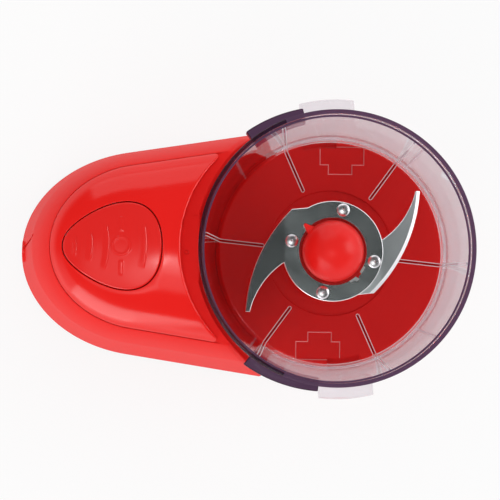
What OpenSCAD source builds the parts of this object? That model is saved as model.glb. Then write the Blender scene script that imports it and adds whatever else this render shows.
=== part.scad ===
// Mini food chopper: a motor tower with a push button, beside a bowl on a low turret.
// A belt under the floor turns the spindle, which turns the blade inside the bowl.
// Millimetres, +Z up. The bowl's axis is the working origin; the model is shifted at the
// end so that the origin is under the middle of the whole appliance, on the table.

/* [Bowl] */
// Outer radius of the rim
rim_r = 70; // [68:0.5:72]
// Height of the stiff band round the rim
rim_band_h = 10; // [8:0.5:14]
// Wall of the rim band
rim_wall = 2.2; // [1.8:0.1:2.6]
// Depth from the rim to the inner floor
bowl_depth = 70.8; // [66:0.2:80]
// Wall of the bowl
bowl_wall = 2.2; // [1.8:0.1:3]
// Thickness of the bowl's floor
bowl_floor = 3; // [2.4:0.1:4]
// How much the inside narrows from the rim to the floor
bowl_taper = 8.1; // [6:0.1:10]
// Number of mixing ribs inside the bowl
rib_count = 6; // [4:1:8]
// Width of one mixing rib
rib_w = 2; // [1.4:0.1:3]
// Height of one mixing rib above the floor and wall
rib_h = 1; // [0.6:0.1:1.6]
// Radius at which the mixing ribs begin
rib_start_r = 36; // [30:0.5:44]
// Turn of the ribs from the long axis
rib_turn = -5.8; // [-12:0.1:12]
// Inner radius of the chimney round the spindle
chimney_r = 6.6; // [6.5:0.1:7]
// Wall of the chimney
chimney_wall = 2; // [1.6:0.1:2.4]
// Height of the chimney above the inner floor
chimney_h = 15.3; // [12:0.1:16]
// Thickness of the four fins outside the wall
fin_w = 1.2; // [1:0.1:2]
// Angle of the first fin
fin_turn = 49.3; // [44:0.1:50]
// How far the two finger tabs stand out past the rim
tab_reach = 6; // [4:0.5:8]
// Width of a finger tab
tab_w = 28; // [20:0.5:34]
// Thickness of a finger tab
tab_t = 2.2; // [1.6:0.1:3]
// Turn of the finger tabs from the cross axis
tab_turn = 4.3; // [0:0.1:8]
// How far the side wings stand out past the rim at the tower
wing_reach = 5; // [3:0.2:5.4]
// Height of the side wings
wing_h = 12; // [8:0.5:14]
// Depth of the skirt that hangs over the turret
skirt_h = 5.2; // [4:0.2:7]

/* [Turret] */
// Radius of the turret under the bowl
turret_r = 60; // [58:0.5:61]
// Height of the turret's top above the table
turret_z = 38; // [36:0.5:44]
// Width of the two key notches, in degrees
notch_deg = 19; // [14:0.5:24]
// Depth of the key notches from the edge inwards
notch_in = 4.5; // [3:0.1:6]
// Depth of the key notches downwards
notch_down = 5; // [4.5:0.1:6]
// Radius of the shallow step round the spindle
step_r = 33; // [26:0.5:38]

/* [Tower] */
// Distance from the bowl's axis to the tip of the nose
nose_reach = 164.5; // [160:0.5:170]
// Half width of the tower where its round nose begins
tower_half_w = 55.5; // [54:0.5:58]
// Length of the round nose
nose_len = 70; // [66:0.5:74]
// Widening of the flanks towards the bowl, per unit of length
flank_slope = 0.156; // [0.13:0.002:0.18]
// Height of the parting line between body and top cover
fold_z = 98; // [96:0.5:104]
// How far the flanks lean in, from the table to the parting line
flank_lean = 13; // [11:0.5:14]
// How far the nose leans in, from the table to the parting line
nose_lean = 19; // [16:0.5:21]
// Rise of the domed cover above the parting line
dome_h = 17; // [15:0.5:19]
// Wall of the housing and the cover
shell_t = 2.5; // [2.2:0.1:3]
// Gap between the bowl's rim and the tower's hollow front
front_gap = 1.8; // [1.4:0.1:2.4]
// Width of the ledge in front of the cover
ledge_w = 7.1; // [6.5:0.1:8]
// Radius of the cover's hollow front edge
arc_r = 64.3; // [62:0.1:67]
// Gap along the parting line
seam_gap = 0.3; // [0.2:0.05:0.5]
// Width of the lock pocket in the ledge
pocket_w = 34; // [26:0.5:38]
// Depth of the lock pocket
pocket_down = 1; // [0.6:0.1:2.4]
// Distance from the bowl's axis to the pocket's straight back edge
pocket_reach = 72.5; // [72.3:0.1:73.5]
// How far the pocket's lip stands out past the hollow front, at the middle
lip_out = 2.4; // [1.6:0.1:2.6]
// Radius of the lock plunger's tip
lock_tip_r = 1; // [0.7:0.05:1.1]

/* [Button] */
// Length of the button
button_len = 50; // [44:0.5:52]
// Width of the button
button_w = 44; // [38:0.5:46]
// Distance from the bowl's axis to the button's middle
button_reach = 113.2; // [112:0.2:114.6]
// Gap round the button
button_gap = 0.4; // [0.3:0.05:0.6]
// Travel of the button
button_travel = 2.5; // [1.5:0.1:3]
// Height of the grip ridges on the button
ridge_h = 0.6; // [0.4:0.1:1]

/* [Blade] */
// Radius of the spindle
spindle_r = 4; // [3.5:0.1:4.4]
// Height of the blades above the bowl's inner floor
blade_lift_z = 25.3; // [24:0.1:28]
// Thickness of one blade
blade_t = 1.2; // [1:0.1:1.6]
// Outer radius of the blade ring
ring_r = 26; // [25.4:0.1:27]
// Radius of the hole in the blade ring
ring_hole_r = 17.8; // [17.2:0.1:18.4]
// Radius of the hub's dome
dome_r = 16; // [14.5:0.1:16.6]
// Radius of the rivet circle
rivet_ring_r = 22; // [21.6:0.1:22.2]
// Radius of a rivet head
rivet_r = 3.4; // [2.6:0.1:3.6]
// Slope of the raised and lowered blade arms, in degrees
arm_tilt = 4; // [2:0.5:5]

/* [Drive] */
// Distance from the spindle to the motor shaft
motor_reach = 112; // [111:0.2:113]
// Radius of the spindle pulley where the belt runs
big_pulley_r = 23; // [20:0.5:25]
// Radius of the motor pulley where the belt runs
small_pulley_r = 7; // [6.5:0.1:8]
// Width of the belt
belt_w = 6; // [5:0.2:6.4]
// Thickness of the belt
belt_t = 1.5; // [1.2:0.1:2]
// Height of the belt's middle above the table
belt_z = 13; // [12.8:0.1:13.4]
// Radius of the motor shaft
shaft_r = 2.5; // [2:0.1:3]
// Radius of the rotor's steel core
rotor_r = 14.7; // [13:0.1:15.4]
// Height of the stack of steel sheets
stack_h = 22; // [18:0.5:24]
// Length of the stator along the appliance
stator_len = 58; // [56:0.5:59]
// Width of the stator across the appliance
stator_w = 50; // [48:0.5:54]
// Air gap between rotor and stator
air_gap = 0.5; // [0.4:0.05:0.8]
// Running clearance of a shaft in its bush
bush_gap = 0.04; // [0.02:0.01:0.08]

/* [Base] */
// Height of the rubber feet
feet_h = 2.5; // [2:0.1:4]
// Radius of a rubber foot
foot_r = 7.5; // [6:0.1:9]
// Thickness of the base plate
plate_t = 2.5; // [2.4:0.1:3.2]
// Gap round the base plate
plate_gap = 0.5; // [0.4:0.05:0.8]
// Radius of a screw boss
boss_r = 4.2; // [3.8:0.1:4.6]
// Radius of the housing screws
screw_r = 1.5; // [1.2:0.05:1.7]
// Inner radius of the cord gland
cord_hole_r = 3.3; // [2.8:0.1:3.8]

/* [Hidden] */
$fn = 96;

// Small amount by which a cut runs past a face
over = 1;
// Seat gap between two pieces that rest together
seat = 0.2;

// Bowl heights and radii
floor_under_z = turret_z + seat;
floor_z = floor_under_z + bowl_floor;
rim_z = floor_z + bowl_depth;
band_z = rim_z - rim_band_h;
bowl_in_top_r = rim_r - rim_wall - 0.9;
bowl_in_low_r = bowl_in_top_r - bowl_taper;
skirt_in_r = turret_r + 0.4;
skirt_out_r = skirt_in_r + 2;
tab_z = band_z - 5;
wing_x = -0.88 * wing_reach;
wing_r = rim_r + wing_reach - 2.8;
wing_ends = [[104, 128.3], [231.7, 263]];

// Tower outline
nose_x = nose_len - nose_reach;
tangent_deg = 90 + atan(flank_slope * nose_len / tower_half_w);
front_x = -turret_r * 0.54;
corner_r = 6;
front_r = rim_r + front_gap;
arc_x = arc_r - front_r - ledge_w;
dome_x = arc_x - arc_r - 1;
nose_steps = 44;
body_levels = [0, 0.3, 0.55, 0.75, 0.86, 0.93, 0.97, 1];
dome_levels = [1, 0.992, 0.97, 0.93, 0.86, 0.74, 0.58, 0.4, 0.2, 0.04];
deck_z = turret_z - 6;
ledge_t = 2.5;
lip_h = 4;
plate_top = feet_h + plate_t;

// Button
button_x = -button_reach;
button_wall = 1.8;
egg_steps = 60;
cap_low_z = fold_z + 1;
mark_x = button_x - 0.6;

// Blade and spindle
blade_z = floor_z + blade_lift_z;
hub_low_z = floor_z + 2.6;
flange_t = 3;
socket_z = floor_z + chimney_h + 1;
dog_r = chimney_r - 0.6;
dog_z = socket_z + 0.4;
dog_h = 12;
hub_bore_r = chimney_r + chimney_wall + 0.5;
hub_r = hub_bore_r + 2.1;
flange_r = ring_r - 1.5;
lower_blade_z = blade_z;
upper_blade_z = blade_z + blade_t;
blade_top_z = blade_z + 2 * blade_t;

// Belt drive
belt_gap = 0.3;
pulley_h = belt_w + 3;
pulley_z = belt_z - pulley_h / 2;
pulley_top = pulley_z + pulley_h;
bush_out_r = spindle_r + 3;
bush_h = 7;
low_bush_z = pulley_top + 1.6;
boss_out_r = bush_out_r + 3.5;
recess_z = turret_z - 1;
high_bush_z = recess_z - bush_h;
ring_groove = 0.5;

// Motor heights
motor_x = -motor_reach;
low_plate_z = pulley_top + 2.5;
low_plate_t = 2.5;
stack_z = low_plate_z + 22;
stack_top = stack_z + stack_h;
coil_rise = 6;
commutator_z = stack_top + coil_rise + 1.5;
commutator_r = 8.5;
high_plate_z = commutator_z + 10.5;
motor_bush_r = shaft_r + 3;
motor_bush_h = 6;
through_x = stator_len / 2 - 5;
through_r = 2;
mount_x = stator_len / 2 - 9;
mount_y = stator_w / 2 - 4;
mount_z = low_plate_z - 6;
brush_z = commutator_z + 4.5;

// Switches
bracket_z = fold_z - 4;
switch_h = 9;
switch_z = bracket_z + 2;
switch_top = switch_z + switch_h;
plunger_top = switch_top + button_travel + 0.5;
plunger_low = switch_top - 4;
plunger_r = 1.6;
spring_places = [button_x - 15.5, button_x + 15.5];
spring_top = fold_z + 7;
lock_x = -(front_r + 6.8);
lock_tip = [-(front_r + shell_t + 1.4), -2.4];
lock_top = fold_z;
shelf_z = fold_z - 22;
lock_switch_z = fold_z - 40;
lock_pin_top = shelf_z - 2.5;

// Half width of the tower at a place along it and at a height
function lean(z) = let (u = (z - feet_h) / (fold_z - feet_h)) 0.66 * u + 0.34 * pow(max(u, 0), 8);
function half_len(z, inset) = nose_len - nose_lean * lean(z) - inset;
function half_w(z, inset) = tower_half_w - flank_lean * lean(z) - inset;
function tangent_x(z, inset) = nose_x + half_len(z, inset) * cos(tangent_deg);
function tangent_y(z, inset) = half_w(z, inset) * sin(tangent_deg);
function line_y(x, z, inset) = tangent_y(z, inset) + flank_slope * (x - tangent_x(z, inset));
function nose_y(x, z, inset) =
    half_w(z, inset) * sqrt(max(0, 1 - pow((x - nose_x) / half_len(z, inset), 2)));
function tower_y(x, z, inset) =
    x > tangent_x(z, inset) ? line_y(x, z, inset) : nose_y(x, z, inset);

// Outline of the tower at one height: round nose, straight flanks, rounded front corners
function corner(x, z, inset, turn) = let (r = corner_r - min(inset, corner_r - 1))
    [x - r + r * cos(turn), line_y(x - r, z, inset) - r + r * sin(turn)];
function outline(z, inset) = concat(
    [for (i = [0:nose_steps])
        let (t = tangent_deg + (360 - 2 * tangent_deg) * i / nose_steps)
        [nose_x + half_len(z, inset) * cos(t), half_w(z, inset) * sin(t)]],
    [for (turn = [90:-30:0]) let (p = corner(front_x - inset, z, inset, turn)) [p.x, -p.y]],
    [for (turn = [0:30:90]) corner(front_x - inset, z, inset, turn)]);

// Height of the dome for a share of the outline, and the share at a place
function dome_rise(s, inset) = (dome_h - inset) * pow(1 - s * s, 0.62);
function dome_share(x, y, inset) =
    let (a = half_len(fold_z, inset), b = half_w(fold_z, inset), u = x - dome_x, v = dome_x - nose_x,
         qa = pow(u / a, 2) + pow(y / b, 2), qb = 2 * u * v / (a * a), qc = pow(v / a, 2) - 1,
         k = (-qb + sqrt(qb * qb - 4 * qa * qc)) / (2 * qa),
         line_k = line_y(dome_x, fold_z, inset) / max(0.01, abs(y) - flank_slope * u))
    1 / (dome_x + u * k < tangent_x(fold_z, inset) ? k : line_k);
function dome_z(x, y, inset) = fold_z + dome_rise(min(1, dome_share(x, y, inset)), inset);

// Solid skinned over a list of rings, each a list of points counted the same way round
module skin(rings) {
    n = len(rings[0]);
    m = len(rings);
    points = [for (ring = rings) each ring];
    sides = [for (k = [0:m - 2], i = [0:n - 1]) let (j = (i + 1) % n)
        each [[k * n + i, (k + 1) * n + i, (k + 1) * n + j], [k * n + i, (k + 1) * n + j, k * n + j]]];
    low = [[for (i = [0:n - 1]) i]];
    high = [[for (i = [0:n - 1]) m * n - 1 - i]];
    polyhedron(points, concat(low, sides, high), convexity = 6);
}

function at_height(flat, z) = [for (p = flat) [p.x, p.y, z]];

// Leaning body of the tower, from below the table gap to the parting line
module tower_body(inset, extra_low, extra_high) {
    levels = [for (u = body_levels) feet_h + u * (fold_z - feet_h)];
    skin(concat(
        extra_low > 0 ? [at_height(outline(feet_h, inset), feet_h - extra_low)] : [],
        [for (z = levels) at_height(outline(z, inset), z)],
        extra_high > 0 ? [at_height(outline(fold_z, inset), fold_z + extra_high)] : []));
}

// Dome of the tower, from the parting line up
module tower_dome(inset, from_z) {
    flat = outline(fold_z, inset);
    skin(concat([at_height(flat, from_z)],
        [for (s = dome_levels)
            at_height([for (p = flat) [dome_x + s * (p.x - dome_x), s * p.y]],
                      fold_z + seam_gap + 0.1 + dome_rise(s, inset))]));
}

// Egg outline of the button, its pointed end to the nose
function egg(grow) = [for (i = [0:egg_steps - 1])
    let (t = 360 * i / egg_steps, a = button_len / 2 + grow, b = 0.475 * button_w + grow)
    [button_x + a * cos(t), b * sign(sin(t)) * pow(abs(sin(t)), 0.9) * (1 + 0.33 * cos(t))]];

// Wedge that keeps a span of degrees
module sector(from_deg, to_deg, reach) {
    steps = 6;
    polygon(concat([[0, 0]],
        [for (i = [0:steps]) let (t = from_deg + (to_deg - from_deg) * i / steps)
            [reach * cos(t), reach * sin(t)]]));
}

// Tube of round section along a list of points
module tube(path, r, sides) {
    last = len(path) - 1;
    across = [0.31, 0.94, 0.15];
    rings = [for (i = [0:last])
        let (d = path[min(i + 1, last)] - path[max(i - 1, 0)], t = d / norm(d),
             n = cross(t, across), nn = n / norm(n), b = cross(t, nn))
        [for (k = [0:sides - 1]) let (w = -360 * k / sides) path[i] + r * (cos(w) * nn + sin(w) * b)]];
    skin(rings);
}

// Coil spring standing on its lower end
module coil(r, wire_r, h, turns) {
    steps = 10;
    rise = h - 2 * wire_r;
    path = [for (i = [0:turns * steps])
        let (t = 360 * i / steps) [r * cos(t), r * sin(t), wire_r + rise * i / (turns * steps)]];
    rings = [for (i = [0:turns * steps])
        let (t = 360 * i / steps, out = [cos(t), sin(t), 0])
        [for (k = [0:5]) path[i] + wire_r * (cos(-60 * k) * out + [0, 0, sin(-60 * k)])]];
    skin(rings);
}

// Straight run of a belt round two pulleys
module belt_outline(grow) {
    big = big_pulley_r + grow;
    small = small_pulley_r + grow;
    t = 90 + asin((big_pulley_r - small_pulley_r) / motor_reach);
    circle(big);
    translate([motor_x, 0]) circle(small);
    polygon([big * [cos(t), sin(t)], [motor_x, 0] + small * [cos(t), sin(t)],
             [motor_x, 0] + small * [cos(t), -sin(t)], big * [cos(t), -sin(t)]]);
}

// Shift of the whole model, so that the origin is under the middle of its length
shift_x = (nose_reach - rim_r) / 2;
module placed() {
    translate([shift_x, 0, 0]) children();
}

// Screw places: [x, y] from the bowl's axis
boss_h = 18;
function by_wall(x, side) = [x, side * (tower_y(x, plate_top + boss_h, shell_t) - boss_r + 1.5)];
turret_boss_r = turret_r - 12;
base_screw_places = concat(
    [for (t = [0, 70, -70]) turret_boss_r * [cos(t), sin(t)]],
    [for (x = [-62, nose_x - 46], side = [1, -1]) by_wall(x, side)]);
clamp_x = -nose_reach + 15;
clamp_y = 9;
terminal_x = motor_x - 18.5;
gland_z = plate_top + 8.5;
gland_r = cord_hole_r + 2.4;
clamp_z = gland_z + cord_hole_r;
foot_places = [[36, 28], [36, -28], [nose_x - 26, 34], [nose_x - 26, -34]];
cover_screw_x = [nose_x - 33, nose_x + 4];
cover_screw_places = [for (x = cover_screw_x, side = [1, -1])
    [x, side * (tower_y(x, fold_z, shell_t) - 3.2)]];
ear_r = 4.4;
ear_t = 4.5;
mount_places = [for (sx = [1, -1], sy = [1, -1]) [motor_x + sx * mount_x, sy * mount_y]];
bracket_post_y = button_w / 2 + 6;
notch_middles = [96, 278];

/* Housing */

module turret_solid() {
    edge = 2;
    rotate_extrude()
        polygon(concat([[0, feet_h], [turret_r, feet_h]],
            [for (i = [0:4]) let (t = 90 * i / 4)
                [turret_r - edge + edge * cos(t), turret_z - edge + edge * sin(t)]],
            [[0, turret_z]]));
}

// Hollow corner between the tower's low front and the turret
module waist(side) {
    r = 4;
    c = [front_x + r, sqrt(pow(turret_r + r, 2) - pow(front_x + r, 2))];
    touch = c * (turret_r - 0.4) / norm(c);
    mirror([0, side < 0 ? 1 : 0, 0])
        translate([0, 0, feet_h]) linear_extrude(deck_z - feet_h)
            difference() {
                polygon([[front_x - 1, c.y - 0.1], c, touch, [front_x - 1, touch.y - 6]]);
                translate(c) circle(r);
            }
}

module housing_shell() {
    difference() {
        union() {
            difference() {
                tower_body(0, 0, 0);
                translate([0, 0, deck_z]) cylinder(r = front_r, h = fold_z);
            }
            turret_solid();
            for (side = [1, -1]) waist(side);
            // Straight lip in front of the ledge, under the bowl's rim
            translate([-front_r - 1, -pocket_w / 2, fold_z - lip_h]) cube([1 + lip_out, pocket_w, lip_h]);
        }
        // Lower room, under the deck and inside the turret
        translate([0, 0, -over]) cylinder(r = turret_r - shell_t, h = deck_z - shell_t + over);
        cylinder(r = turret_r - notch_in - shell_t, h = recess_z - shell_t);
        // Room of the motor, kept behind the hollow front and below the ledge
        difference() {
            tower_body(shell_t, feet_h + over, over);
            translate([0, 0, deck_z - shell_t]) cylinder(r = front_r + shell_t, h = fold_z);
            translate([arc_x, 0, fold_z - ledge_t]) cylinder(r = arc_r + 3, h = ledge_t + 2 * over);
        }
        // Lock pocket, open towards the bowl, and the hole of the plunger's tip
        translate([-pocket_reach, -pocket_w / 2, fold_z - pocket_down]) cube([12, pocket_w, pocket_down + over]);
        translate([lock_tip.x, lock_tip.y, fold_z - ledge_t - over])
            cylinder(r = lock_tip_r + 0.2, h = ledge_t + 2 * over);
    }
}

module turret_details() {
    // Key notches at the edge
    for (t = notch_middles)
        translate([0, 0, turret_z - notch_down])
            linear_extrude(notch_down + over)
                difference() {
                    intersection() {
                        circle(turret_r + over);
                        sector(t - notch_deg / 2, t + notch_deg / 2, 2 * turret_r);
                    }
                    circle(turret_r - notch_in);
                }
    // Stepped T recesses in the top
    for (turn = [0, 180])
        rotate(turn) translate([0, 0, turret_z - 0.6]) {
            translate([-17.3, -turret_r + 4, 0]) cube([22.7, 9, 0.6 + over]);
            translate([-11, -turret_r + 11, 0]) cube([12, 7, 0.6 + over]);
        }
    // Shallow step round the spindle
    translate([0, 0, recess_z]) cylinder(r = step_r, h = 1 + over);
}

module main_housing() {
    color("red") placed() difference() {
        union() {
            difference() {
                housing_shell();
                turret_details();
            }
            // Boss of the spindle bushes
            translate([0, 0, low_bush_z]) cylinder(r = boss_out_r, h = recess_z - low_bush_z);
            // Bosses of the base screws
            for (p = base_screw_places)
                translate([p.x, p.y, plate_top + seat])
                    cylinder(r = boss_r, h = norm(p) < turret_r ? recess_z - plate_top - 1 : boss_h);
            // Ears of the cover screws
            for (p = cover_screw_places)
                translate([p.x, p.y, fold_z - ear_t]) cylinder(r = ear_r, h = ear_t);
            // Shelf of the lock spring and pad of the lock switch
            difference() {
                union() {
                    translate([lock_x - 4.6, -6, shelf_z]) cube([9.4, 12, 3]);
                    translate([lock_x + 3.4, -7, lock_switch_z + 2]) cube([2, 14, 8]);
                }
                cylinder(r = front_r + 1, h = fold_z);
            }
        }
        translate([0, 0, low_bush_z - over]) cylinder(r = bush_out_r, h = bush_h + over);
        translate([0, 0, high_bush_z]) cylinder(r = bush_out_r, h = bush_h + 2 * over);
        translate([0, 0, low_bush_z]) cylinder(r = bush_out_r - 1, h = turret_z - low_bush_z);
        for (p = base_screw_places)
            translate([p.x, p.y, plate_top - over]) cylinder(r = screw_r, h = 15);
        for (p = cover_screw_places)
            translate([p.x, p.y, fold_z - ear_t - over]) cylinder(r = screw_r + 0.3, h = ear_t + 2 * over);
        translate([lock_x, 0, shelf_z - over]) cylinder(r = 1.9, h = 3 + 2 * over);
        // Hole of the cord gland
        translate([-nose_reach - over, 0, gland_z]) rotate([0, 90, 0]) cylinder(r = gland_r, h = 12);
    }
}

module top_cover() {
    color("red") placed() difference() {
        union() {
            difference() {
                tower_dome(0, fold_z + seam_gap);
                difference() {
                    tower_dome(shell_t, fold_z - over);
                    translate([arc_x, 0, fold_z - 2 * over]) cylinder(r = arc_r + shell_t, h = dome_h + 3);
                }
                translate([arc_x, 0, fold_z - over]) cylinder(r = arc_r, h = dome_h + 5);
            }
            // Bosses over the housing's ears, and posts of the switch bracket
            intersection() {
                for (p = cover_screw_places)
                    translate([p.x, p.y, fold_z + seam_gap]) cylinder(r = 3.4, h = dome_h);
                tower_dome(1, fold_z + seam_gap);
            }
            for (side = [1, -1])
                translate([button_x, side * bracket_post_y, bracket_z + 2 + seat])
                    cylinder(r = 3.4, h = dome_z(button_x, bracket_post_y, shell_t) - bracket_z - 1.9);
        }
        translate([0, 0, fold_z - over]) linear_extrude(dome_h + 5) polygon(egg(button_gap));
        for (p = cover_screw_places)
            translate([p.x, p.y, fold_z - over]) cylinder(r = screw_r, h = over + seam_gap + 3.2);
        for (side = [1, -1])
            translate([button_x, side * bracket_post_y, bracket_z]) cylinder(r = screw_r, h = 9);
    }
}

module plate_outline() {
    circle(turret_r - shell_t - plate_gap);
    polygon(outline(feet_h, shell_t + plate_gap));
}

module base_plate() {
    color([0.16, 0.16, 0.17]) placed() difference() {
        union() {
            translate([0, 0, feet_h]) linear_extrude(plate_t) plate_outline();
            // Posts of the motor mounts
            for (p = mount_places) translate([p.x, p.y, plate_top - 0.5]) {
                cylinder(r = 4, h = mount_z - plate_top + 0.5 - seat);
                cylinder(r = 1.8, h = mount_z - plate_top + 4.5);
            }
            // Two pillars of the cord clamp
            for (side = [1, -1])
                translate([clamp_x, side * clamp_y, plate_top - 0.5])
                    cylinder(r = 3.4, h = clamp_z - plate_top + 0.5 - seat);
        }
        for (p = base_screw_places) translate([p.x, p.y, feet_h - over]) {
            cylinder(r = 3.7, h = 1.4 + over);
            cylinder(r = screw_r + 0.3, h = plate_t + 2 * over);
        }
        for (p = foot_places) translate([p.x, p.y, feet_h - over]) cylinder(r = foot_r + 0.2, h = 1 + over);
        for (side = [1, -1])
            translate([clamp_x, side * clamp_y, plate_top + 1]) cylinder(r = screw_r, h = clamp_z);
        // Air slots under the fan
        for (i = [-3:3]) translate([motor_x + 5 * i - 1.2, -14, feet_h - over]) cube([2.4, 28, plate_t + 2 * over]);
    }
}

module rubber_feet() {
    color([0.1, 0.1, 0.1]) placed()
        for (p = foot_places) translate([p.x, p.y, 0])
            rotate_extrude() polygon([[0, 0], [foot_r - 1, 0], [foot_r, 1], [foot_r, feet_h + 0.9], [0, feet_h + 0.9]]);
}

module pan_screw(shank, length, head) {
    difference() {
        union() {
            cylinder(r = shank, h = length);
            translate([0, 0, -1.4]) cylinder(r = head, h = 1.4);
        }
        for (turn = [0, 90]) rotate(turn) translate([-0.4, -1.2, -1.4 - over]) cube([0.8, 2.4, over + 0.7]);
    }
}

module base_screws() {
    color("silver") placed()
        for (p = base_screw_places)
            translate([p.x, p.y, feet_h + 1.4]) pan_screw(screw_r, 12.6, 3.3);
}

module cover_screws() {
    color("silver") placed()
        for (p = cover_screw_places)
            translate([p.x, p.y, fold_z - ear_t - seat]) pan_screw(screw_r, ear_t + seat + seam_gap + 3, 3);
}

/* Button and switches */

module grip_ridges() {
    // Curved bars across the button, and a plain ring as its mark
    bars = [[-21.5, 9, 60], [-14.5, 14, 50], [-5.5, 22, 45], [14.8, 21, 60]];
    for (b = bars)
        translate([button_x + b[0] - b[2], 0])
            intersection() {
                difference() {
                    circle(b[2] + 0.9);
                    circle(b[2] - 0.9);
                }
                translate([b[2] - 5, -b[1] / 2]) square([10, b[1]]);
            }
    translate([button_x + 4.6, 0]) {
        difference() {
            circle(5);
            circle(3.8);
        }
        for (side = [1, -1]) translate([-0.9, side * 11 - 3.5]) square([1.8, 7]);
    }
}

module button_cap() {
    color([0.86, 0.1, 0.09]) placed() {
        difference() {
            union() {
                intersection() {
                    tower_dome(0.3, cap_low_z - 4);
                    translate([0, 0, cap_low_z]) linear_extrude(dome_h + 5) polygon(egg(0));
                }
                intersection() {
                    tower_dome(-ridge_h, cap_low_z - 4);
                    translate([0, 0, fold_z + 4]) linear_extrude(dome_h + 5) grip_ridges();
                }
            }
            intersection() {
                tower_dome(0.3 + button_wall, cap_low_z - 4);
                translate([0, 0, cap_low_z - over]) linear_extrude(dome_h + 5) polygon(egg(-button_wall));
            }
        }
        // Pusher over the switch and seats of the two springs
        for (seat_at = spring_places)
            translate([seat_at, 0, spring_top]) cylinder(r = 4.4, h = dome_z(seat_at, 0, 0.3 + button_wall) - spring_top + 0.8);
        for (seat_at = spring_places)
            translate([seat_at, 0, spring_top - 2]) cylinder(r = 2.2, h = 3);
        translate([button_x, 0, plunger_top + seat])
            cylinder(r = 3, h = dome_z(button_x, 0, 0.3 + button_wall) - plunger_top + 0.6);
    }
}

module button_springs() {
    color("silver") placed()
        for (x = spring_places) translate([x, 0, switch_z + seat])
            coil(3.2, 0.4, spring_top - switch_z - 2 * seat, 6);
}

module switch_bracket() {
    color([0.85, 0.85, 0.82]) placed() difference() {
        union() {
            translate([button_x - 20, -9, bracket_z]) cube([40, 18, 2]);
            translate([button_x - 5, -bracket_post_y - 4, bracket_z]) cube([10, 2 * bracket_post_y + 8, 2]);
            // Clips at both sides of the switch
            for (side = [1, -1])
                translate([button_x - 6, side * 4.5 - 0.9, bracket_z + 1]) cube([12, 1.8, 6]);
        }
        for (side = [1, -1])
            translate([button_x, side * bracket_post_y, bracket_z - over]) cylinder(r = screw_r + 0.3, h = 2 + 2 * over);
    }
}

module bracket_screws() {
    color("silver") placed()
        for (side = [1, -1])
            translate([button_x, side * bracket_post_y, bracket_z - seat]) pan_screw(screw_r, 8, 3);
}

module micro_switch(length, depth, height, hole_r, hole_h) {
    difference() {
        translate([-length / 2, -depth / 2, 0]) cube([length, depth, height]);
        translate([0, 0, height - hole_h]) cylinder(r = hole_r, h = hole_h + over);
        for (side = [1, -1])
            translate([side * 0.35 * length, -depth, 2]) rotate([-90, 0, 0]) cylinder(r = 1.1, h = 2 * depth);
    }
}

module power_switch() {
    color([0.12, 0.12, 0.13]) placed()
        translate([button_x, 0, switch_z])
            micro_switch(19.8, 6.4, switch_h, plunger_r + 0.1, switch_top - plunger_low + button_travel + 0.5);
}

module switch_plunger() {
    color([0.75, 0.15, 0.12]) placed()
        translate([button_x, 0, plunger_low]) cylinder(r = plunger_r, h = plunger_top - plunger_low);
}

module interlock_plunger() {
    color([0.86, 0.1, 0.09]) placed() {
        translate([lock_x - 0.8, -4, shelf_z + 12])
            cube([lock_tip.x - lock_x + 1.6, 8, fold_z - ledge_t - seat - shelf_z - 12]);
        translate([lock_tip.x, lock_tip.y, shelf_z + 13]) cylinder(r = lock_tip_r, h = lock_top - shelf_z - 13);
        translate([lock_x, 0, shelf_z + 10]) cylinder(r = 3.3, h = 3);
        translate([lock_x, 0, lock_pin_top + seat]) cylinder(r = 1.85, h = shelf_z + 10.5 - lock_pin_top);
    }
}

module interlock_spring() {
    color("silver") placed()
        translate([lock_x, 0, shelf_z + 3 + seat]) coil(2.6, 0.35, 7 - 2 * seat, 5);
}

module interlock_switch() {
    color([0.12, 0.12, 0.13]) placed()
        translate([lock_x, 0, lock_switch_z]) rotate(90) micro_switch(19.8, 6.4, 12, 1.4, 9.5);
}

module interlock_pin() {
    color([0.75, 0.15, 0.12]) placed()
        translate([lock_x, 0, lock_pin_top - 8.5]) cylinder(r = 1.3, h = 8.5);
}

/* Motor */

module at_motor() {
    placed() translate([motor_x, 0, 0]) children();
}

module stator_core() {
    color([0.55, 0.56, 0.58]) at_motor() translate([0, 0, stack_z]) difference() {
        linear_extrude(stack_h) difference() {
            union() {
                square([stator_len - 10, stator_w], center = true);
                square([stator_len, stator_w - 10], center = true);
                for (sx = [1, -1], sy = [1, -1])
                    translate([sx * (stator_len / 2 - 5), sy * (stator_w / 2 - 5)]) circle(5);
            }
            circle(rotor_r + air_gap);
            for (sx = [1, -1]) translate([sx * through_x, 0]) circle(through_r + 0.1);
        }
        for (sx = [1, -1], sy = [1, -1])
            translate([sx * 16.5 - 3.8, sy * 19 - 3, -over]) cube([7.6, 6, stack_h + 2 * over]);
    }
}

module field_coils() {
    color([0.72, 0.38, 0.16]) at_motor()
        for (side = [1, -1]) translate([0, side * 19, stack_z - coil_rise]) difference() {
            translate([-20, -2.6, 0]) cube([40, 5.2, stack_h + 2 * coil_rise]);
            translate([-13, -3, coil_rise - seat]) cube([26, 6, stack_h + 2 * seat]);
        }
}

module rotor_shaft() {
    color("silver") at_motor()
        translate([0, 0, pulley_z - 0.5]) cylinder(r = shaft_r, h = high_plate_z + 6.6 - pulley_z + 0.5);
}

module rotor_core() {
    color([0.5, 0.51, 0.53]) at_motor() translate([0, 0, stack_z]) linear_extrude(stack_h) difference() {
        circle(rotor_r);
        circle(shaft_r);
        for (i = [0:11]) rotate(30 * i) translate([rotor_r - 5, -0.9]) square([6, 1.8]);
    }
}

module rotor_windings() {
    color([0.72, 0.38, 0.16]) at_motor()
        for (z = [stack_z - coil_rise, stack_top]) translate([0, 0, z])
            rotate_extrude() polygon([[shaft_r, 0], [10, 0], [12.5, 1.5], [12.5, coil_rise - 1.5],
                [10, coil_rise], [shaft_r, coil_rise]]);
}

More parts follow.
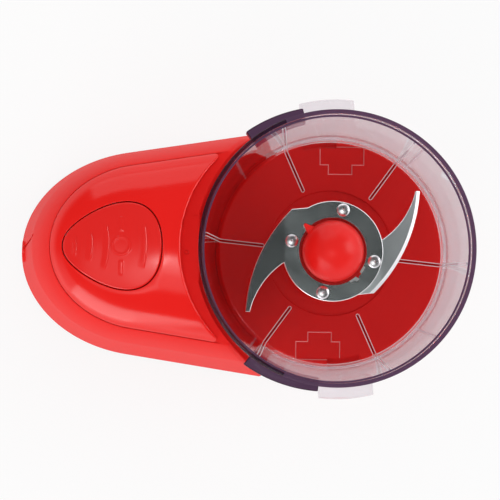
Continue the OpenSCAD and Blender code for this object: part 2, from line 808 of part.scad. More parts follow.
module commutator() {
    color([0.8, 0.5, 0.3]) at_motor() translate([0, 0, commutator_z]) linear_extrude(9) difference() {
        circle(commutator_r);
        circle(shaft_r);
        for (i = [0:11]) rotate(30 * i + 15) translate([commutator_r - 1, -0.2]) square([2, 0.4]);
    }
}

module cooling_fan() {
    fan_z = low_plate_z + 6.5;
    color([0.2, 0.2, 0.22]) at_motor() translate([0, 0, fan_z]) difference() {
        union() {
            cylinder(r = 6, h = 7);
            cylinder(r = 18.5, h = 1.2);
            for (i = [0:9]) rotate(36 * i) translate([4, -0.6, 0]) cube([14.2, 1.2, 7]);
        }
        translate([0, 0, -over]) cylinder(r = shaft_r, h = 10);
    }
}

module pulley(belt_r, bore_r) {
    difference() {
        rotate_extrude() polygon([[bore_r, 0], [belt_r + 1.4, 0], [belt_r + 1.4, 0.9], [belt_r, 1.1],
            [belt_r, pulley_h - 1.1], [belt_r + 1.4, pulley_h - 0.9], [belt_r + 1.4, pulley_h],
            [bore_r, pulley_h]]);
        if (belt_r > 15)
            for (i = [0:5]) rotate(60 * i) translate([belt_r * 0.58, 0, -over]) cylinder(r = 4, h = pulley_h + 2 * over);
    }
}

module motor_pulley() {
    color([0.85, 0.82, 0.7]) at_motor() translate([0, 0, pulley_z]) pulley(small_pulley_r, shaft_r);
}

module lower_motor_bracket() {
    color([0.7, 0.71, 0.72]) at_motor() difference() {
        union() {
            translate([-stator_len / 2, -stator_w / 2 - 2, low_plate_z]) cube([stator_len, stator_w + 4, low_plate_t]);
            translate([0, 0, low_plate_z - 1]) cylinder(r = motor_bush_r + 2, h = 6);
            for (sx = [1, -1])
                translate([sx * through_x, 0, low_plate_z]) cylinder(r = 3.6, h = stack_z - low_plate_z);
        }
        translate([0, 0, low_plate_z - 2]) cylinder(r = motor_bush_r, h = 8);
        for (sx = [1, -1])
            translate([sx * through_x, 0, low_plate_z - over]) cylinder(r = through_r + 0.1, h = stack_z);
        for (sx = [1, -1], sy = [1, -1])
            translate([sx * mount_x, sy * mount_y, low_plate_z - over]) cylinder(r = 2.2, h = low_plate_t + 2 * over);
        for (sy = [1, -1]) translate([-11, sy * 17 - 5, low_plate_z - over]) cube([22, 10, low_plate_t + 2 * over]);
    }
}

module upper_motor_bracket() {
    color([0.7, 0.71, 0.72]) at_motor() difference() {
        union() {
            translate([-stator_len / 2, -10, high_plate_z]) cube([stator_len, 20, 2.5]);
            translate([-5, -24, high_plate_z]) cube([10, 48, 2.5]);
            translate([0, 0, high_plate_z - 1]) cylinder(r = motor_bush_r + 2, h = 6);
            for (sx = [1, -1])
                translate([sx * through_x, 0, stack_top]) cylinder(r = 3.6, h = high_plate_z - stack_top);
            for (side = [1, -1])
                translate([-3.5, side * 17 - 4, brush_z + 3.5]) cube([7, 8, high_plate_z - brush_z - 3]);
        }
        translate([0, 0, high_plate_z - 2]) cylinder(r = motor_bush_r, h = 8);
        for (sx = [1, -1])
            translate([sx * through_x, 0, stack_top - over]) cylinder(r = through_r + 0.1, h = high_plate_z);
    }
}

module motor_bushes() {
    color([0.72, 0.58, 0.32]) at_motor()
        for (z = [low_plate_z - 1, high_plate_z - 1]) translate([0, 0, z]) difference() {
            cylinder(r = motor_bush_r, h = motor_bush_h);
            translate([0, 0, -over]) cylinder(r = shaft_r + bush_gap, h = motor_bush_h + 2 * over);
        }
}

module motor_screws() {
    color("silver") at_motor()
        for (sx = [1, -1]) translate([sx * through_x, 0, low_plate_z])
            pan_screw(through_r, high_plate_z + 6 - low_plate_z, 3.6);
}

module motor_nuts() {
    color("silver") at_motor()
        for (sx = [1, -1]) translate([sx * through_x, 0, high_plate_z + 2.5]) difference() {
            cylinder(r = 4, h = 3, $fn = 6);
            translate([0, 0, -over]) cylinder(r = through_r, h = 3 + 2 * over);
        }
}

module brush_holders() {
    color([0.8, 0.65, 0.3]) at_motor()
        for (side = [1, -1]) difference() {
            translate([-3.5, side * 16.5 - 6.5, brush_z - 3.5]) cube([7, 13, 7]);
            translate([-2.5, side * 16.5 - 7.5, brush_z - 2.5]) cube([5, 15, 5]);
        }
}

module carbon_brushes() {
    color([0.15, 0.15, 0.16]) at_motor()
        for (side = [1, -1]) translate([-2.4, side * 14.6 - 5.8, brush_z - 2.4]) cube([4.8, 11.6, 4.8]);
}

module motor_mounts() {
    color([0.1, 0.1, 0.1]) placed()
        for (p = mount_places) translate([p.x, p.y, mount_z]) difference() {
            cylinder(r = 5, h = low_plate_z - mount_z);
            translate([0, 0, -over]) cylinder(r = 2, h = 8);
        }
}

/* Belt and spindle */

module drive_belt() {
    color([0.13, 0.13, 0.13]) placed()
        translate([0, 0, belt_z - belt_w / 2]) linear_extrude(belt_w) difference() {
            belt_outline(belt_gap + belt_t);
            belt_outline(belt_gap);
        }
}

module spindle_pulley() {
    color([0.85, 0.82, 0.7]) placed() translate([0, 0, pulley_z]) pulley(big_pulley_r, spindle_r);
}

module spindle() {
    top = dog_z + dog_h - 2;
    color("silver") placed() difference() {
        translate([0, 0, pulley_z - 0.5]) cylinder(r = spindle_r, h = top - pulley_z + 0.5);
        translate([0, 0, pulley_top + 0.3]) difference() {
            cylinder(r = spindle_r + over, h = 1);
            translate([0, 0, -over]) cylinder(r = spindle_r - ring_groove, h = 3);
        }
    }
}

module retaining_ring() {
    color("silver") placed() translate([0, 0, pulley_top + 0.3]) linear_extrude(1) difference() {
        circle(spindle_r + 2.2);
        circle(spindle_r - ring_groove);
        translate([spindle_r - 1.5, -1.2]) square([5, 2.4]);
    }
}

module spindle_bushes() {
    color([0.72, 0.58, 0.32]) placed()
        for (z = [low_bush_z, high_bush_z]) translate([0, 0, z]) difference() {
            cylinder(r = bush_out_r, h = bush_h);
            translate([0, 0, -over]) cylinder(r = spindle_r + bush_gap, h = bush_h + 2 * over);
        }
}

module spindle_seal() {
    color([0.1, 0.1, 0.1]) placed() translate([0, 0, recess_z])
        rotate_extrude() polygon([[spindle_r + 0.3, 1.6], [spindle_r + 1.2, 0], [chimney_r - 0.4, 0],
            [chimney_r - 0.4, 1.2], [spindle_r + 1.4, 2.6], [spindle_r + 0.3, 2.6]]);
}

module drive_dog() {
    color([0.2, 0.2, 0.22]) placed() translate([0, 0, dog_z]) difference() {
        union() {
            cylinder(r = dog_r, h = dog_h - 1, $fn = 6);
            translate([0, 0, dog_h - 1]) cylinder(r = dog_r * 0.84, h = 1);
        }
        translate([0, 0, -over]) cylinder(r = spindle_r, h = dog_h - 2 + over);
    }
}

/* Blade */

module blade_hub() {
    dome_base = blade_top_z + 1.2;
    color([0.85, 0.08, 0.07]) placed() difference() {
        union() {
            rotate_extrude() polygon(concat(
                [[0, hub_low_z], [hub_r - 0.6, hub_low_z], [hub_r, hub_low_z + 0.6], [hub_r, blade_z - flange_t - 3],
                 [hub_r + 2, blade_z - flange_t], [flange_r, blade_z - flange_t], [flange_r, blade_z],
                 [dome_r, blade_z]],
                [for (i = [0:9]) let (t = 10 * i) [dome_r * cos(t), dome_base + dome_r * sin(t)]],
                [[0, dome_base + dome_r]]));
            // Pointer that locks the blades on the hub
            translate([0, 0, blade_top_z + 0.2]) linear_extrude(3.4) rotate(137.6)
                polygon([[dome_r - 3, 3.6], [dome_r - 3, -3.6], [ring_r - 5.6, -0.5], [ring_r - 5.6, 0.5]]);
        }
        translate([0, 0, hub_low_z - over]) cylinder(r = hub_bore_r, h = socket_z - hub_low_z + over);
        translate([0, 0, socket_z - over])
            cylinder(r = dog_r + 0.25, h = dog_z + dog_h + 0.1 - socket_z + over, $fn = 6);
        for (i = [0:3]) rotate(rivet_turn + 90 * i)
            translate([rivet_ring_r, 0, blade_z - flange_t - over]) cylinder(r = rivet_shank_r, h = flange_t + 2 * over);
    }
}

rivet_turn = 76.5;
rivet_shank_r = 1.8;

// Ring of one blade with its curved arm; the arm's edges are two arcs
module blade_flat() {
    difference() {
        circle(ring_r);
        circle(ring_hole_r);
        for (i = [0:3]) rotate(rivet_turn + 90 * i) translate([rivet_ring_r, 0]) circle(rivet_shank_r);
        rotate(137.6) translate([ring_hole_r - 1.5, -1.6]) square([3.6, 3.2]);
    }
}

module arm_flat() {
    difference() {
        intersection() {
            translate([36.1, -35.7]) circle(81.2);
            translate([-50, -31.8]) square([50 - ring_hole_r, 53.4]);
        }
        translate([-1.3, -41.2]) circle(42.5);
        circle(ring_hole_r + 1);
        for (t = [76.5, 166.5, 256.5]) rotate(t) translate([rivet_ring_r, 0]) circle(rivet_shank_r);
    }
}

// Blade with its arm tilted about the edge of the ring
module blade(tilt) {
    root_x = -flange_r - 0.3;
    linear_extrude(blade_t) blade_flat();
    translate([root_x, 0, 0]) rotate([0, tilt, 0]) translate([-root_x, 0, 0])
        linear_extrude(blade_t) intersection() {
            arm_flat();
            translate([-60, -40]) square([60 + root_x, 80]);
        }
    linear_extrude(blade_t) intersection() {
        arm_flat();
        translate([root_x - 0.05, -40]) square([40, 80]);
    }
}

module upper_blade() {
    color([0.6, 0.61, 0.62]) placed() translate([0, 0, upper_blade_z]) blade(arm_tilt);
}

module lower_blade() {
    color([0.68, 0.69, 0.7]) placed()
        translate([0, 0, lower_blade_z + blade_t]) rotate(180) mirror([0, 0, 1]) blade(arm_tilt);
}

module blade_rivets() {
    color("silver") placed()
        for (i = [0:3]) rotate(rivet_turn + 90 * i) translate([rivet_ring_r, 0, 0])
            rotate_extrude() polygon(concat(
                [[0, blade_z - flange_t - 1.2], [2.6, blade_z - flange_t - 1.2], [2.6, blade_z - flange_t],
                 [rivet_shank_r, blade_z - flange_t], [rivet_shank_r, blade_top_z], [rivet_r, blade_top_z]],
                [for (t = [10:16:90]) [rivet_r * cos(t), blade_top_z + 1.5 * sin(t)]]));
}

/* Bowl */

function wall_r(z) = bowl_in_low_r + (bowl_in_top_r - bowl_in_low_r) * (z - floor_z) / (band_z + 1 - floor_z);

module bowl_wall_turned() {
    out = bowl_wall;
    rotate_extrude() polygon([
        [chimney_r, floor_under_z], [skirt_in_r, floor_under_z], [skirt_in_r, floor_under_z - skirt_h],
        [skirt_out_r, floor_under_z - skirt_h], [skirt_out_r, floor_z - 1.4], [wall_r(floor_z + 1) + out, floor_z + 1],
        [wall_r(band_z - 1) + out, band_z - 1], [rim_r, band_z], [rim_r, rim_z - 0.9], [rim_r - 0.3, rim_z - 0.25],
        [rim_r - 0.9, rim_z], [rim_r - rim_wall + 0.7, rim_z], [rim_r - rim_wall, rim_z - 0.7],
        [rim_r - rim_wall, band_z + 2], [wall_r(band_z + 1), band_z + 1], [wall_r(floor_z + 4), floor_z + 4],
        [wall_r(floor_z) - 1, floor_z + 1.2], [wall_r(floor_z) - 3, floor_z], [chimney_r + chimney_wall + 1.2, floor_z],
        [chimney_r + chimney_wall, floor_z + 1.2], [chimney_r + chimney_wall, floor_z + chimney_h - 0.5],
        [chimney_r + chimney_wall - 0.5, floor_z + chimney_h], [chimney_r, floor_z + chimney_h]]);
}

// Rib that runs over the floor and up the wall, along +X
module mixing_rib() {
    low_r = bowl_in_low_r - 3;
    translate([0, rib_w / 2, 0]) rotate([90, 0, 0]) linear_extrude(rib_w) polygon([
        [rib_start_r, floor_z - 0.6], [bowl_in_low_r + 1, floor_z - 0.6], [wall_r(band_z) + 0.8, band_z],
        [wall_r(band_z) - 0.2, band_z], [wall_r(floor_z + 5) - rib_h, floor_z + 5], [low_r, floor_z + rib_h],
        [rib_start_r, floor_z + rib_h]]);
    translate([rib_start_r, 0, floor_z - 0.6]) cylinder(r = rib_w / 2, h = rib_h + 0.6);
}

module outer_fin() {
    translate([0, fin_w / 2, 0]) rotate([90, 0, 0]) linear_extrude(fin_w) polygon([
        [wall_r(floor_z + 1) + 1, floor_z], [skirt_out_r - 0.2, floor_z - 1.6], [rim_r - 0.3, band_z + 0.5],
        [wall_r(band_z) + 1, band_z]]);
}

// Solid wing beside the rim that meets the tower's front corner
module side_wing(ends) {
    translate([0, 0, band_z - wing_h]) linear_extrude(wing_h + 0.5) difference() {
        intersection() {
            translate([wing_x, 0]) circle(wing_r);
            sector(ends[0], ends[1], 90);
        }
        circle(wall_r(band_z - wing_h) + 1.6);
    }
}

module finger_tab() {
    out_r = rim_r + tab_reach;
    translate([0, 0, tab_z]) linear_extrude(tab_t) intersection() {
        translate([-tab_w / 2, rim_r - 6]) square([tab_w, 20]);
        difference() {
            circle(out_r);
            circle(wall_r(tab_z) + 1);
        }
    }
}

// Lug that drops into a key notch of the turret
module key_lug(middle) {
    half = notch_deg / 2 - 0.8;
    translate([0, 0, turret_z - notch_down + 0.4])
        linear_extrude(notch_down) difference() {
            intersection() {
                circle(skirt_in_r + 0.6);
                sector(middle - half, middle + half, 2 * turret_r);
            }
            circle(turret_r - notch_in + 0.5);
        }
}

module bowl() {
    color([0.55, 0.45, 0.52, 0.4]) placed() difference() {
        union() {
            bowl_wall_turned();
            for (i = [0:rib_count - 1]) rotate(rib_turn + i * 360 / rib_count) mixing_rib();
            for (i = [0:3]) rotate(fin_turn + 90 * i) outer_fin();
            for (ends = wing_ends) side_wing(ends);
            for (turn = [0, 180]) rotate(tab_turn + turn) finger_tab();
            for (middle = notch_middles) key_lug(middle);
        }
    }
}

/* Cord inlet and electrics */

module cord_gland() {
    face_x = nose_x - half_len(gland_z, 0);
    color([0.1, 0.1, 0.1]) placed() translate([0, 0, gland_z]) rotate([0, 90, 0]) difference() {
        union() {
            translate([0, 0, face_x - 0.4]) cylinder(r = gland_r - 0.1, h = 9);
            translate([0, 0, face_x + shell_t + 1.6]) cylinder(r = gland_r + 1.6, h = 3);
        }
        translate([0, 0, face_x - 5]) cylinder(r = cord_hole_r, h = 20);
    }
}

module cord_clamp() {
    color([0.85, 0.85, 0.82]) placed() difference() {
        translate([clamp_x - 3.6, -13, clamp_z]) cube([7.2, 26, 3]);
        for (side = [1, -1])
            translate([clamp_x, side * clamp_y, clamp_z - over]) cylinder(r = screw_r + 0.2, h = 3 + 2 * over);
    }
}

module clamp_screws() {
    color("silver") placed()
        for (side = [1, -1])
            translate([clamp_x, side * clamp_y, clamp_z + 3 + seat]) mirror([0, 0, 1]) pan_screw(screw_r, 10, 2.8);
}

module terminal_block() {
    color([0.9, 0.9, 0.88]) placed() difference() {
        translate([terminal_x - 5, -12, plate_top]) cube([10, 24, 10]);
        for (y = [-7.5, 0, 7.5]) {
            translate([terminal_x, y, plate_top + 5]) cylinder(r = 1.8, h = 8);
            translate([terminal_x - 8, y, plate_top + 4]) rotate([0, 90, 0]) cylinder(r = 1.4, h = 16);
        }
    }
}

module suppressor() {
    color([0.85, 0.65, 0.15]) placed() translate([motor_x + 32, 29, plate_top]) cube([24, 11, 17]);
}

// Leads from the terminal block to the power switch and to the two brush holders
module wiring() {
    x = motor_x - stator_len / 2 - 2.5;
    hole_z = plate_top + 4;
    start = terminal_x - 3.6;
    switch_lead = [[start, 0, hole_z], [x + 4, 1, hole_z + 0.5], [x, 4, hole_z + 5], [x, 5, stack_top],
                   [x + 2, 8, stack_top + 9], [x + 4, 12, high_plate_z - 4], [x + 10, 14, high_plate_z + 4],
                   [button_x - 14, 13, bracket_z - 3], [button_x - 9.5, 11.5, switch_z],
                   [button_x - 8.3, 8, switch_z + 3], [button_x - 8, 3.3, switch_z + 3.5]];
    color([0.75, 0.1, 0.1]) placed() {
        tube(switch_lead, 0.9, 8);
        for (side = [1, -1])
            tube([[start, side * 7.5, hole_z], [x + 4, side * 8.5, hole_z + 0.5], [x, side * 11, hole_z + 5],
                  [x, side * 13, stack_z], [x + 1, side * 15, stack_top], [x + 8, side * 20, brush_z - 3],
                  [motor_x - 12, side * 21, brush_z], [motor_x - 3.6, side * 20, brush_z]], 0.9, 8);
    }
}

main_housing();
top_cover();
base_plate();
rubber_feet();
base_screws();
cover_screws();
button_cap();
button_springs();
switch_bracket();
bracket_screws();
power_switch();
switch_plunger();
interlock_plunger();
interlock_spring();
interlock_switch();
interlock_pin();
stator_core();
field_coils();
rotor_shaft();
rotor_core();
rotor_windings();
commutator();
cooling_fan();
motor_pulley();
lower_motor_bracket();
upper_motor_bracket();
motor_bushes();
motor_screws();
motor_nuts();
brush_holders();
carbon_brushes();
motor_mounts();
drive_belt();
spindle_pulley();
spindle();
spindle_bushes();
retaining_ring();
spindle_seal();
drive_dog();
blade_hub();
upper_blade();
lower_blade();
blade_rivets();
bowl();
cord_gland();
cord_clamp();
clamp_screws();
terminal_block();
suppressor();
wiring();
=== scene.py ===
# %% [markdown]
# # Mini food chopper: the visible pieces and their finishes
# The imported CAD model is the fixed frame. Each piece that is seen is modelled finer here, on the
# same sizes, and the hidden works keep their CAD meshes with a finish of their own.

# %% Load the frame
import bpy
import bmesh
import math
from mathutils import Matrix, Vector


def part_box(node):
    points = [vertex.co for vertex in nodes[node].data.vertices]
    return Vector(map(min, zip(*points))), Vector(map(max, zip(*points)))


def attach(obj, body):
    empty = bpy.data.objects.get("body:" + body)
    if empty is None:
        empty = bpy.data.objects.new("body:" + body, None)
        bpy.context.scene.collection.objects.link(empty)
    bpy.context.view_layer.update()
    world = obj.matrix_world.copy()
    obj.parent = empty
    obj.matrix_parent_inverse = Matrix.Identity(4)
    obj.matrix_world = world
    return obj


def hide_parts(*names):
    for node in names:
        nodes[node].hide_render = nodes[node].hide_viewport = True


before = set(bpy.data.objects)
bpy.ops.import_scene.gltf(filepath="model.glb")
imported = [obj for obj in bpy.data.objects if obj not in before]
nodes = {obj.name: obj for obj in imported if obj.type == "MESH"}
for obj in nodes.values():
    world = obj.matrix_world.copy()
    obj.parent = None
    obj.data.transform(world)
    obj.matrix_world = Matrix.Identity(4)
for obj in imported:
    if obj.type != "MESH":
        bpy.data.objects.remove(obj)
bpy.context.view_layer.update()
spindle_low, spindle_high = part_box("spindle")
axis_x = (spindle_low.x + spindle_high.x) / 2
mm = 0.001
print("nodes", len(nodes), "spindle axis at x", round(axis_x / mm, 2), "mm")

# %% [markdown]
# The camera looks almost straight down from 1.5 m with a narrow lens, as in the photo. It comes
# first, so that each piece can be judged from the same place as it is made.

# %% Camera
def place(x, y, z):
    """A point given in millimetres from the bowl's axis, in the frame's metres."""
    return Vector((axis_x + x * mm, y * mm, z * mm))


eye = place(-78, -52, 1500)
target = place(-42.2, 1.26, 38)
view = (target - eye).normalized()
right = view.cross(Vector((0, 1, 0))).normalized()
up = right.cross(view)
roll = math.radians(0.6)
right, up = right * math.cos(roll) + up * math.sin(roll), up * math.cos(roll) - right * math.sin(roll)
bpy.ops.object.camera_add(location=eye)
camera = bpy.context.object
camera.name = "photo_camera"
camera.rotation_euler = Matrix((right, up, -view)).transposed().to_euler()
camera.data.sensor_width = 36
camera.data.lens = 2771 * 36 / 500
camera.data.clip_end = 20
bpy.context.scene.camera = camera
bpy.context.scene.view_settings.view_transform = "Standard"
print("lens", round(camera.data.lens, 1), "mm")

# %% [markdown]
# Real studio shots of such an appliance use a white table and large soft lights with dark gaps
# between them. The white table is a plane whose own glow is seen by the camera and in reflections,
# and it still takes the shadow of the object.

# %% Shader helpers
class Wire:
    """One output of a node. Python's operators on it add Math nodes."""

    def __init__(self, finish, socket):
        self.finish = finish
        self.socket = socket

    def maths(self, operation, other=None, swap=False):
        pair = (other, self) if swap else (self, other)
        sockets = {i: v for i, v in enumerate(pair) if v is not None}
        return self.finish.add("Math", sockets, operation=operation)

    def __add__(self, other):
        return self.maths("ADD", other)

    __radd__ = __add__

    def __mul__(self, other):
        return self.maths("MULTIPLY", other)

    __rmul__ = __mul__

    def __sub__(self, other):
        return self.maths("SUBTRACT", other)

    def __rsub__(self, other):
        return self.maths("SUBTRACT", other, swap=True)

    def clamped(self):
        return self.finish.add("Clamp", {"Value": self})


class Finish:
    """A material, or the world, with one way to add any node."""

    def __init__(self, owner):
        self.owner = owner
        owner.use_nodes = True
        self.tree = owner.node_tree
        self.tree.nodes.clear()
        kind = "ShaderNodeOutputWorld" if isinstance(owner, bpy.types.World) else "ShaderNodeOutputMaterial"
        self.output = self.tree.nodes.new(kind)

    def feed(self, socket, value):
        if isinstance(value, Wire):
            self.tree.links.new(value.socket, socket)
        elif hasattr(socket.default_value, "__len__"):
            value = tuple(value)
            room = len(socket.default_value)
            socket.default_value = (value + (1.0,))[:room] if len(value) < room else value[:room]
        else:
            socket.default_value = value

    def add(self, kind, sockets=None, out=0, **settings):
        node = self.tree.nodes.new("ShaderNode" + kind)
        for key, value in settings.items():
            setattr(node, key, value)
        for key, value in (sockets or {}).items():
            self.feed(node.inputs[key], value)
        return Wire(self, node.outputs[out])

    def mix(self, share, first, second):
        """Colour between two colours."""
        return self.add("Mix", {0: share, 6: first, 7: second}, out=2, data_type="RGBA")

    def surface(self, wire):
        self.tree.links.new(wire.socket, self.output.inputs["Surface"])


def coat(obj, *finishes):
    """Gives a mesh its finishes, in the order of its slots."""
    obj.data.materials.clear()
    for item in finishes:
        obj.data.materials.append(item.owner)


def flag(finish, *names):
    """1 for the named kinds of ray, else 0."""
    path = finish.add("LightPath")
    outs = path.socket.node.outputs
    total = Wire(finish, outs[names[0]])
    for name in names[1:]:
        total = total + Wire(finish, outs[name])
    return total.clamped()


# %% Table, world and lamps
def clear():
    """Nothing selected, object mode."""
    if bpy.context.object and bpy.context.object.mode != "OBJECT":
        bpy.ops.object.mode_set(mode="OBJECT")
    bpy.ops.object.select_all(action="DESELECT")


clear()
bpy.ops.mesh.primitive_plane_add(size=12, location=(0, 0, -0.0004))
table = bpy.context.object
table.name = "white_table"
white = Finish(bpy.data.materials.new("white_table"))
seen = flag(white, "Is Camera Ray", "Is Glossy Ray", "Is Transmission Ray")
mirrored = flag(white, "Is Glossy Ray")
paper = white.add("BsdfDiffuse", {"Color": (0.86, 0.86, 0.86)})
glow = white.add("Emission", {"Color": (1, 1, 1), "Strength": 1.0})
white.surface(white.add("MixShader", {0: seen * 0.86 - mirrored * 0.24, 1: paper, 2: glow}))
table.data.materials.append(white.owner)

sky = Finish(bpy.data.worlds.new("studio"))
bpy.context.scene.world = sky.owner
direction = sky.add("TexCoord")
height = sky.add("SeparateXYZ", {0: direction}, out=2)


def fading(value, low, high, at_low, at_high):
    """Soft step from one level to another."""
    return sky.add("MapRange", {"Value": value, "From Min": low, "From Max": high, "To Min": at_low,
                                "To Max": at_high}, interpolation_type="SMOOTHSTEP")


def soft_patch(from_top, turn, inner, outer, strength):
    """Round soft patch of light at a direction given in degrees."""
    a, t = math.radians(from_top), math.radians(turn)
    aim = (math.sin(a) * math.cos(t), math.sin(a) * math.sin(t), math.cos(a))
    near = sky.add("VectorMath", {0: direction, 1: aim}, out=1, operation="DOT_PRODUCT")
    return fading(near, math.cos(math.radians(outer)), math.cos(math.radians(inner)), 0.0, strength)


in_gloss = flag(sky, "Is Glossy Ray")
in_sight = flag(sky, "Is Camera Ray", "Is Transmission Ray")
low_part = fading(height, 0.35, 0.75, 1.0, 0.03)
walls = fading(height, 0.05, 0.42, 1.0, 0.05)
below = fading(height, 0.48, 0.58, 1.0, 0.0)
reflected = (walls + soft_patch(78, -132, 20, 50, 0.8) * below + soft_patch(17, -106, 9, 14, 1.2)
             + soft_patch(10, -106, 3, 8, 1.6) + soft_patch(25, -150, 6, 20, 0.7))
strength = (in_sight * low_part + in_gloss * reflected
            + (1 - in_sight - in_gloss).clamped() * (0.62 + walls * 0.38))
sky.surface(sky.add("Background", {"Color": (1, 1, 1), "Strength": strength}))


def softbox(name, spot, aim, width, depth, power):
    bpy.ops.object.light_add(type="AREA", location=spot)
    lamp = bpy.context.object
    lamp.name = name
    lamp.data.shape = "RECTANGLE"
    lamp.data.size = width
    lamp.data.size_y = depth
    lamp.data.energy = power
    lamp.rotation_euler = (Vector(aim) - Vector(spot)).to_track_quat("-Z", "Y").to_euler()


softbox("key_softbox", (-0.92, -1.43, 0.79), (-0.06, 0, 0.10), 1.4, 0.86, 11.2)
softbox("right_softbox", (1.60, 0.41, 0.90), (0, 0, 0.05), 1.1, 0.9, 9.4)
softbox("back_softbox", (-0.40, 1.60, 0.92), (-0.06, 0, 0.10), 1.6, 0.9, 4.4)
softbox("small_lamp", (-0.177, -0.193, 1.69), (-0.06, 0, 0.10), 0.16, 0.16, 0.55)

# %% [markdown]
# Glossy red ABS covers the body, the cover, the button and the hub. Moulded plastic is never a
# perfect mirror: the mould's polish varies, so roughness and a very low bump come from noise, and
# the colour drifts by a percent or two.

# %% Red moulded plastic
def plastic(name, colour, rough, spread=0.04, grain=0.02, grain_size=900, drift=0.04, shine=0.5, matt=0.0):
    """Moulded plastic: drifting colour, uneven polish, a fine grain and a share of matt scatter."""
    finish = Finish(bpy.data.materials.new(name))
    where = finish.add("TexCoord", out=3)
    broad = finish.add("TexNoise", {"Vector": where, "Scale": 28.0, "Detail": 3.0})
    fine = finish.add("TexNoise", {"Vector": where, "Scale": grain_size, "Detail": 2.0})
    dark = tuple(c * (1 - drift) for c in colour)
    light = tuple(min(1, c * (1 + drift)) for c in colour)
    tint = finish.mix(broad, dark, light)
    polish = finish.add("MapRange", {"Value": broad + fine * 0.4, "From Min": 0.3, "From Max": 1.0,
                                     "To Min": max(0.02, rough - spread), "To Max": rough + spread})
    bump = finish.add("Bump", {"Strength": grain, "Distance": 0.0004, "Height": fine})
    shader = finish.add("BsdfPrincipled", {
        "Base Color": tint, "Roughness": polish, "Specular IOR Level": shine, "Normal": bump})
    if matt:
        scatter = finish.add("BsdfDiffuse", {"Color": tint, "Normal": bump})
        shader = finish.add("MixShader", {0: matt, 1: shader, 2: scatter})
    finish.surface(shader)
    return finish


red_body = plastic("red_body", (0.85, 0.018, 0.015), 0.16, grain=0.003, shine=0.9, matt=0.82)
red_cover = plastic("red_cover", (0.86, 0.013, 0.010), 0.12, grain=0.01, shine=0.45)
red_button = plastic("red_button", (0.82, 0.018, 0.015), 0.16, grain=0.01, shine=0.50)
red_hub = plastic("red_hub", (0.86, 0.013, 0.010), 0.30, grain=0.01, shine=0.28)
# Pale red for small slanted rims: a painted highlight where those rims catch the light.
red_painted_highlight = plastic("red_painted_highlight", (0.95, 0.30, 0.27), 0.20, grain=0.01, shine=0.50)
print("red", red_body.owner.name)

# %% [markdown]
# The bowl is clear plastic with a light violet smoke. Light is bent at its faces and coloured by the
# depth of plastic that it passes, which makes the upright rim look dark and the floor almost clear.
# Two face attributes also paint light into it: a pale diffuse layer as painted highlight on edges,
# ribs, fins, tabs and the inner wall, and a dark tint as painted shade on the rim, wings and rib tops.

# %% Smoky clear plastic
smoky = Finish(bpy.data.materials.new("smoky_clear"))
where = smoky.add("TexCoord", out=3)
haze = smoky.add("TexNoise", {"Vector": where, "Scale": 60.0, "Detail": 3.0})
polish = smoky.add("MapRange", {"Value": haze, "To Min": 0.01, "To Max": 0.05})
ripple = smoky.add("Bump", {"Strength": 0.02, "Distance": 0.0005, "Height": haze})
# Face attributes of painted light: a pale share that is painted highlight, a dark share that is painted
# shade.
pale = smoky.add("Attribute", out=2, attribute_name="pale")
deep = smoky.add("Attribute", out=2, attribute_name="deep")
# Painted shade: the clear colour turns dark violet on faces marked for it.
tint = smoky.mix(deep, (1, 1, 1), (0.07, 0.03, 0.08))
clear_shader = smoky.add("BsdfPrincipled", {
    "Base Color": tint, "Roughness": polish, "IOR": 1.46, "Transmission Weight": 1.0, "Normal": ripple})
passing = flag(smoky, "Is Shadow Ray", "Is Diffuse Ray")
# Painted shade also darkens the see-through share for all rays but shadow and diffuse ones.
thin_colour = smoky.mix(deep * (1 - passing), (0.97, 0.95, 0.97), (0.12, 0.06, 0.12))
thin_tint = smoky.add("BsdfTransparent", {"Color": thin_colour})
glassy = smoky.add("MixShader", {0: passing * 0.56 + 0.40, 1: clear_shader, 2: thin_tint})
# A diffuse layer of painted light: pale as painted highlight, dark violet as painted shade on faces marked
# for shade; shadow and diffuse rays don't see it.
painted_light_colour = smoky.mix(deep, (0.94, 0.92, 0.94), (0.105, 0.055, 0.105))
painted_light_layer = smoky.add("BsdfDiffuse", {"Color": painted_light_colour})
smoky.surface(smoky.add("MixShader", {0: pale * (1 - passing), 1: glassy, 2: painted_light_layer}))
fog = smoky.add("VolumeAbsorption", {"Color": (0.60, 0.52, 0.60), "Density": 70.0})
smoky.tree.links.new(fog.socket, smoky.output.inputs["Volume"])

# %% [markdown]
# The steels differ in how they were made: ground and brushed sheet for the blades, polished rivets
# and shafts, zinc-plated screws and brackets. Fine lines come from noise stretched along one way.

# %% Steels and other metals
def metal(name, colour, rough, spread=0.06, stretch=(1, 1, 1), scale=700.0, grain=0.05):
    """Metal with fine lines or grain, stretched along the way it was worked."""
    finish = Finish(bpy.data.materials.new(name))
    where = finish.add("TexCoord", out=3)
    spot = finish.add("Mapping", {"Vector": where, "Scale": stretch})
    lines = finish.add("TexNoise", {"Vector": spot, "Scale": scale, "Detail": 4.0})
    broad = finish.add("TexNoise", {"Vector": where, "Scale": 90.0, "Detail": 3.0})
    tint = finish.mix(broad, tuple(c * 0.92 for c in colour), colour)
    polish = finish.add("MapRange", {"Value": lines * 0.6 + broad * 0.4, "From Min": 0.25,
                                     "From Max": 0.75, "To Min": max(0.02, rough - spread),
                                     "To Max": rough + spread})
    bump = finish.add("Bump", {"Strength": grain, "Distance": 0.0002, "Height": lines})
    shader = finish.add("BsdfPrincipled", {
        "Base Color": tint, "Roughness": polish, "Metallic": 1.0, "Normal": bump})
    finish.surface(shader)
    return finish


blade_steel = metal("blade_steel", (0.60, 0.67, 0.67), 0.18, stretch=(1, 9, 1))
low_steel = metal("low_blade_steel", (0.62, 0.68, 0.68), 0.36, stretch=(9, 1, 1))
